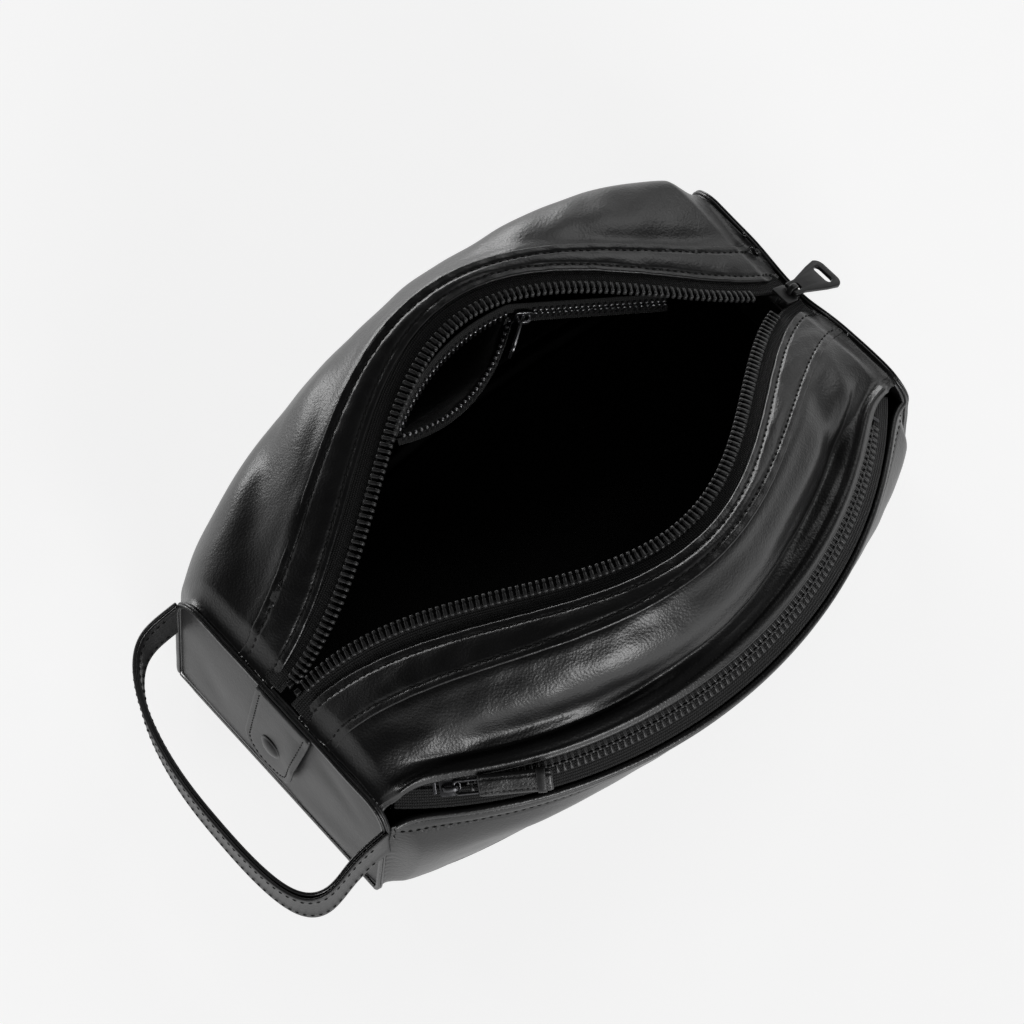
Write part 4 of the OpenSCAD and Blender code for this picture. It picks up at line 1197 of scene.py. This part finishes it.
tab_edge = tab_outline(0)
share = np.linspace(0, 1, 40)
left_edge, right_edge = tab_edge[:60], tab_edge[60:][::-1]
flat = left_edge[:, None] + share[None, :, None] * (right_edge - left_edge)[:, None]
yy, zz = np.moveaxis(flat, -1, 0)
tab_off = tab_lift(yy, zz)
inset_line = tab_outline(-2.0)
near = np.linalg.norm(flat[:, :, None] - inset_line, axis=-1).min(-1)
tab_off = tab_off - 0.35 * np.exp(-((near / 0.8) ** 2))
tab_face = end_place(-1, tab_off, yy, zz)
tab_normals = outward(tab_face, (-1, 0, 0))
# The tab's lighter panel leather is partly painted light.
piece("end_tab_leather", [shell(tab_face, tab_normals, LEATHER)], PANEL_LEATHER_PAINTED_LIGHTER, "root",
      ["end_tab"])
row_y, row_z = inset_line[2:-2].T
row_place = end_place(-1, tab_lift(row_y, row_z) - 0.3, row_y, row_z)
out_of_end = np.array([-math.cos(LEAN), 0, math.sin(LEAN)])
row_normal = np.broadcast_to(out_of_end, row_place.shape)
piece("end_tab_thread", [stitches(row_place, row_normal, 2.6, 0.6, 0.55)], THREAD, "root")


def turned(profile, name, material, slot, node, off, count=48):
    """A round part on the stud's axis from a profile of (radius, height) points."""
    a = np.linspace(0, 2 * math.pi, count, endpoint=False)
    r, h = np.array(profile, float).T[..., None]
    verts = end_place(-1, off + h + 0 * a, STUD_Y + r * np.cos(a), STUD_Z + r * np.sin(a))
    faces = quads(len(profile), count, wrap=True).tolist()
    faces.append(list(range(count)))
    faces.append([(len(profile) - 1) * count + i for i in range(count)])
    piece(name, [(verts.reshape(-1, 3), faces)], material, "root", [node])


half_d = STUD_D / 2
turned([(half_d * 0.5, 0.0), (half_d * 0.92, 0.0), (half_d, 0.25), (half_d, 0.6),
        (half_d * 0.96, 0.85), (half_d * 0.9, 0.95), (half_d * 0.86, 0.9), (half_d * 0.8, 1.25),
        (half_d * 0.62, 1.75), (half_d * 0.4, 2.08), (half_d * 0.18, 2.22), (0.05, 2.25)],
       "stud_domed_cap", BLACK, "black_metal", "stud_cap", 2.35)
turned([(1.3, 0.0), (1.3, 4.3), (0.9, 4.4), (0.05, 4.4)], "stud_shank", NICKEL, "nickel",
       "stud_post", -2.2)
turned([(1.4, 0.2), (1.6, 0.0), (4.2, 0.0), (4.5, 0.3), (4.5, 0.6), (4.1, 0.8), (1.6, 0.8),
        (1.4, 0.6)], "stud_backing_washer", NICKEL, "nickel", "stud_washer", -3.4)

# ---------------------------------------------------------------- carrying strap

STRAP_W, STRAP_T, STRAP_REACH, STRAP_Z = 18.0, 3.0, 45.0, 51.0
STRAP_DROOP = math.radians(6)
STRAP_SAG = 11.0
STRAP_HALF_Y = 60.2
STRAP_PIVOT_X = pivot("strap_swing")[0]
ROOT_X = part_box("handle_root_front")[1].x / MM


def strap_line(inset, count=170):
    """Middle line of the strap from its back root round to its front root."""
    a = np.linspace(0, math.pi, count)
    c, d = np.cos(a), np.sin(a)
    power = 2 / (2.5 - 0.4 * c)
    y = (STRAP_HALF_Y - inset) * np.sign(c) * np.abs(c) ** power
    y -= STRAP_SAG * d * (1 - 0.6 * c)
    out = (STRAP_REACH + HALF_LEN + STRAP_PIVOT_X - inset) * d**power * (1 - 0.12 * c)
    loop = np.stack([STRAP_PIVOT_X - out * math.cos(STRAP_DROOP), y,
                     STRAP_Z - out * math.sin(STRAP_DROOP)], -1)
    x = np.linspace(ROOT_X, STRAP_PIVOT_X, 16)[:-1]
    start = np.stack([x, 0 * x + STRAP_HALF_Y - inset, 0 * x + STRAP_Z], -1)
    path = np.concatenate([start, loop, (start * [1, -1, 1])[::-1]])
    far = travelled(path, 0)
    path = interp(np.arange(0.0, far[-1], far[-1] / 240), far, path)
    for _ in range(90):
        path[1:-1] += 0.25 * (path[:-2] + path[2:] - 2 * path[1:-1])
    return path


def strap_grid(inset, crown):
    """The strap's face, standing out by crown between its two stitched grooves."""
    path = strap_line(inset)
    w = np.linspace(-1, 1, 19)
    up = np.array([0, 0, 1.0])
    along = unit(np.gradient(path, axis=0))
    out = unit(np.cross(along, up)) * -1
    far = travelled(path, 0)
    edge = STRAP_W / 2 * (1 + 0.008 * np.sin(far / 17))
    grid = path[:, None] + (w * edge[:, None])[..., None] * up
    stand = crown * (0.45 * (1 - w**4) - 0.35 * line(np.abs(w), 0.74, 0.07))
    return grid + out[:, None] * stand[None, :, None]


def strap_layer(name, inset, sign, material, nodes):
    """One of the strap's two layers, sign 1 outside and -1 inside, with its stitching."""
    grid = strap_grid(inset, sign)
    n = grid_normals(grid)
    if n[len(grid) // 2].mean(0) @ [-sign, 0, 0.0] < 0:
        n = -n
    thick = STRAP_T / 2 - 0.02
    obj = piece(name, [shell(grid, n, thick)], material, None, nodes)
    rows = [stitches(grid[6:-6, j], n[6:-6, j], STITCH, 0.7, 0.42, 0.1) for j in (2, 16)]
    thread = piece(name + "_thread", rows, THREAD, None)
    for part in (obj, thread):
        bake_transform(part)


# The outer layer gets the lighter panel leather, which is partly painted light; the inner layer
# keeps the body leather.
strap_layer("strap_outer_leather", -STRAP_T / 2, 1, PANEL_LEATHER_PAINTED_LIGHTER,
            ["handle_strap", "handle_root_front", "handle_root_back"])
strap_layer("strap_inner_leather", STRAP_T / 2, -1, BODY, ["handle_lining"])

# ---------------------------------------------------------------- stiffener

board = frame["nodes"]["base_board"]
board.data.materials.clear()
board.data.materials.append(board_material())

# ---------------------------------------------------------------- floor, light, camera


def stage_floor():
    mesh = bpy.data.meshes.new("floor")
    mesh.from_pydata([(-3, -3, 0), (3, -3, 0), (3, 3, 0), (-3, 3, 0)], [], [(0, 1, 2, 3)])
    m = Surface("floor_paper")
    m.give("Base Color", m.ramp(m.noise(Scale=40.0, Detail=2.0), (0.33, 0.33, 0.33),
                                (0.34, 0.34, 0.34)))
    m.give("Roughness", 0.9)
    m.give("Emission Color", (1, 1, 1, 1))
    m.give("Emission Strength", 0.8)
    mesh.materials.append(m.material)
    floor = bpy.data.objects.new("floor", mesh)
    bpy.context.scene.collection.objects.link(floor)
    floor.location.z = min(0.0, cad_box[0].z) - 0.0004


def stage_world():
    """A pale room: bright all round near the horizon and dimmer overhead."""
    world = bpy.data.worlds.new("studio")
    bpy.context.scene.world = world
    world.use_nodes = True
    tree = world.node_tree
    link = tree.links.new
    back = tree.nodes["Background"]
    place = tree.nodes.new("ShaderNodeTexCoord")
    split = tree.nodes.new("ShaderNodeSeparateXYZ")
    link(place.outputs["Generated"], split.inputs["Vector"])
    shade = tree.nodes.new("ShaderNodeValToRGB")
    shade.color_ramp.elements[0].position = 0.12
    shade.color_ramp.elements[0].color = (0.75, 0.75, 0.75, 1)
    shade.color_ramp.elements[1].position = 0.6
    shade.color_ramp.elements[1].color = (0.04, 0.04, 0.04, 1)
    link(split.outputs["Z"], shade.inputs["Fac"])
    link(shade.outputs["Color"], back.inputs["Color"])
    back.inputs["Strength"].default_value = 0.6


def softbox(name, place, aim, size, watts):
    data = bpy.data.lights.new(name, "AREA")
    data.shape = "RECTANGLE"
    data.size, data.size_y = size
    data.energy = watts
    light = bpy.data.objects.new(name, data)
    light.location = place
    light.rotation_euler = (Vector(aim) - Vector(place)).to_track_quat("-Z", "Y").to_euler()
    bpy.context.scene.collection.objects.link(light)


def stage_camera():
    azimuth, elevation, distance = math.radians(-41.79), math.radians(64.58), 1.1543
    target = Vector((-0.01046, 0.00893, 0.05))
    back = Vector((math.sin(azimuth) * math.cos(elevation),
                   -math.cos(azimuth) * math.cos(elevation), math.sin(elevation)))
    data = bpy.data.cameras.new("camera")
    data.lens = 105.5
    data.sensor_width = 36
    camera = bpy.data.objects.new("camera", data)
    camera.location = target + distance * back
    camera.rotation_euler = (-back).to_track_quat("-Z", "Y").to_euler()
    bpy.context.scene.collection.objects.link(camera)
    bpy.context.scene.camera = camera


stage_floor()
stage_world()
softbox("right_key", (2.2, 0.5, 1.7), (0, 0, 0), (1.4, 1.4), 9)
softbox("back_strip", (0.5, 2.3, 0.32), (0, 0, 0.05), (2.4, 0.6), 34)
softbox("front_strip", (-0.75, -2.2, 0.8), (0, 0, 0.05), (1.1, 0.8), 26)
stage_camera()
bpy.context.scene.view_settings.view_transform = "Standard"
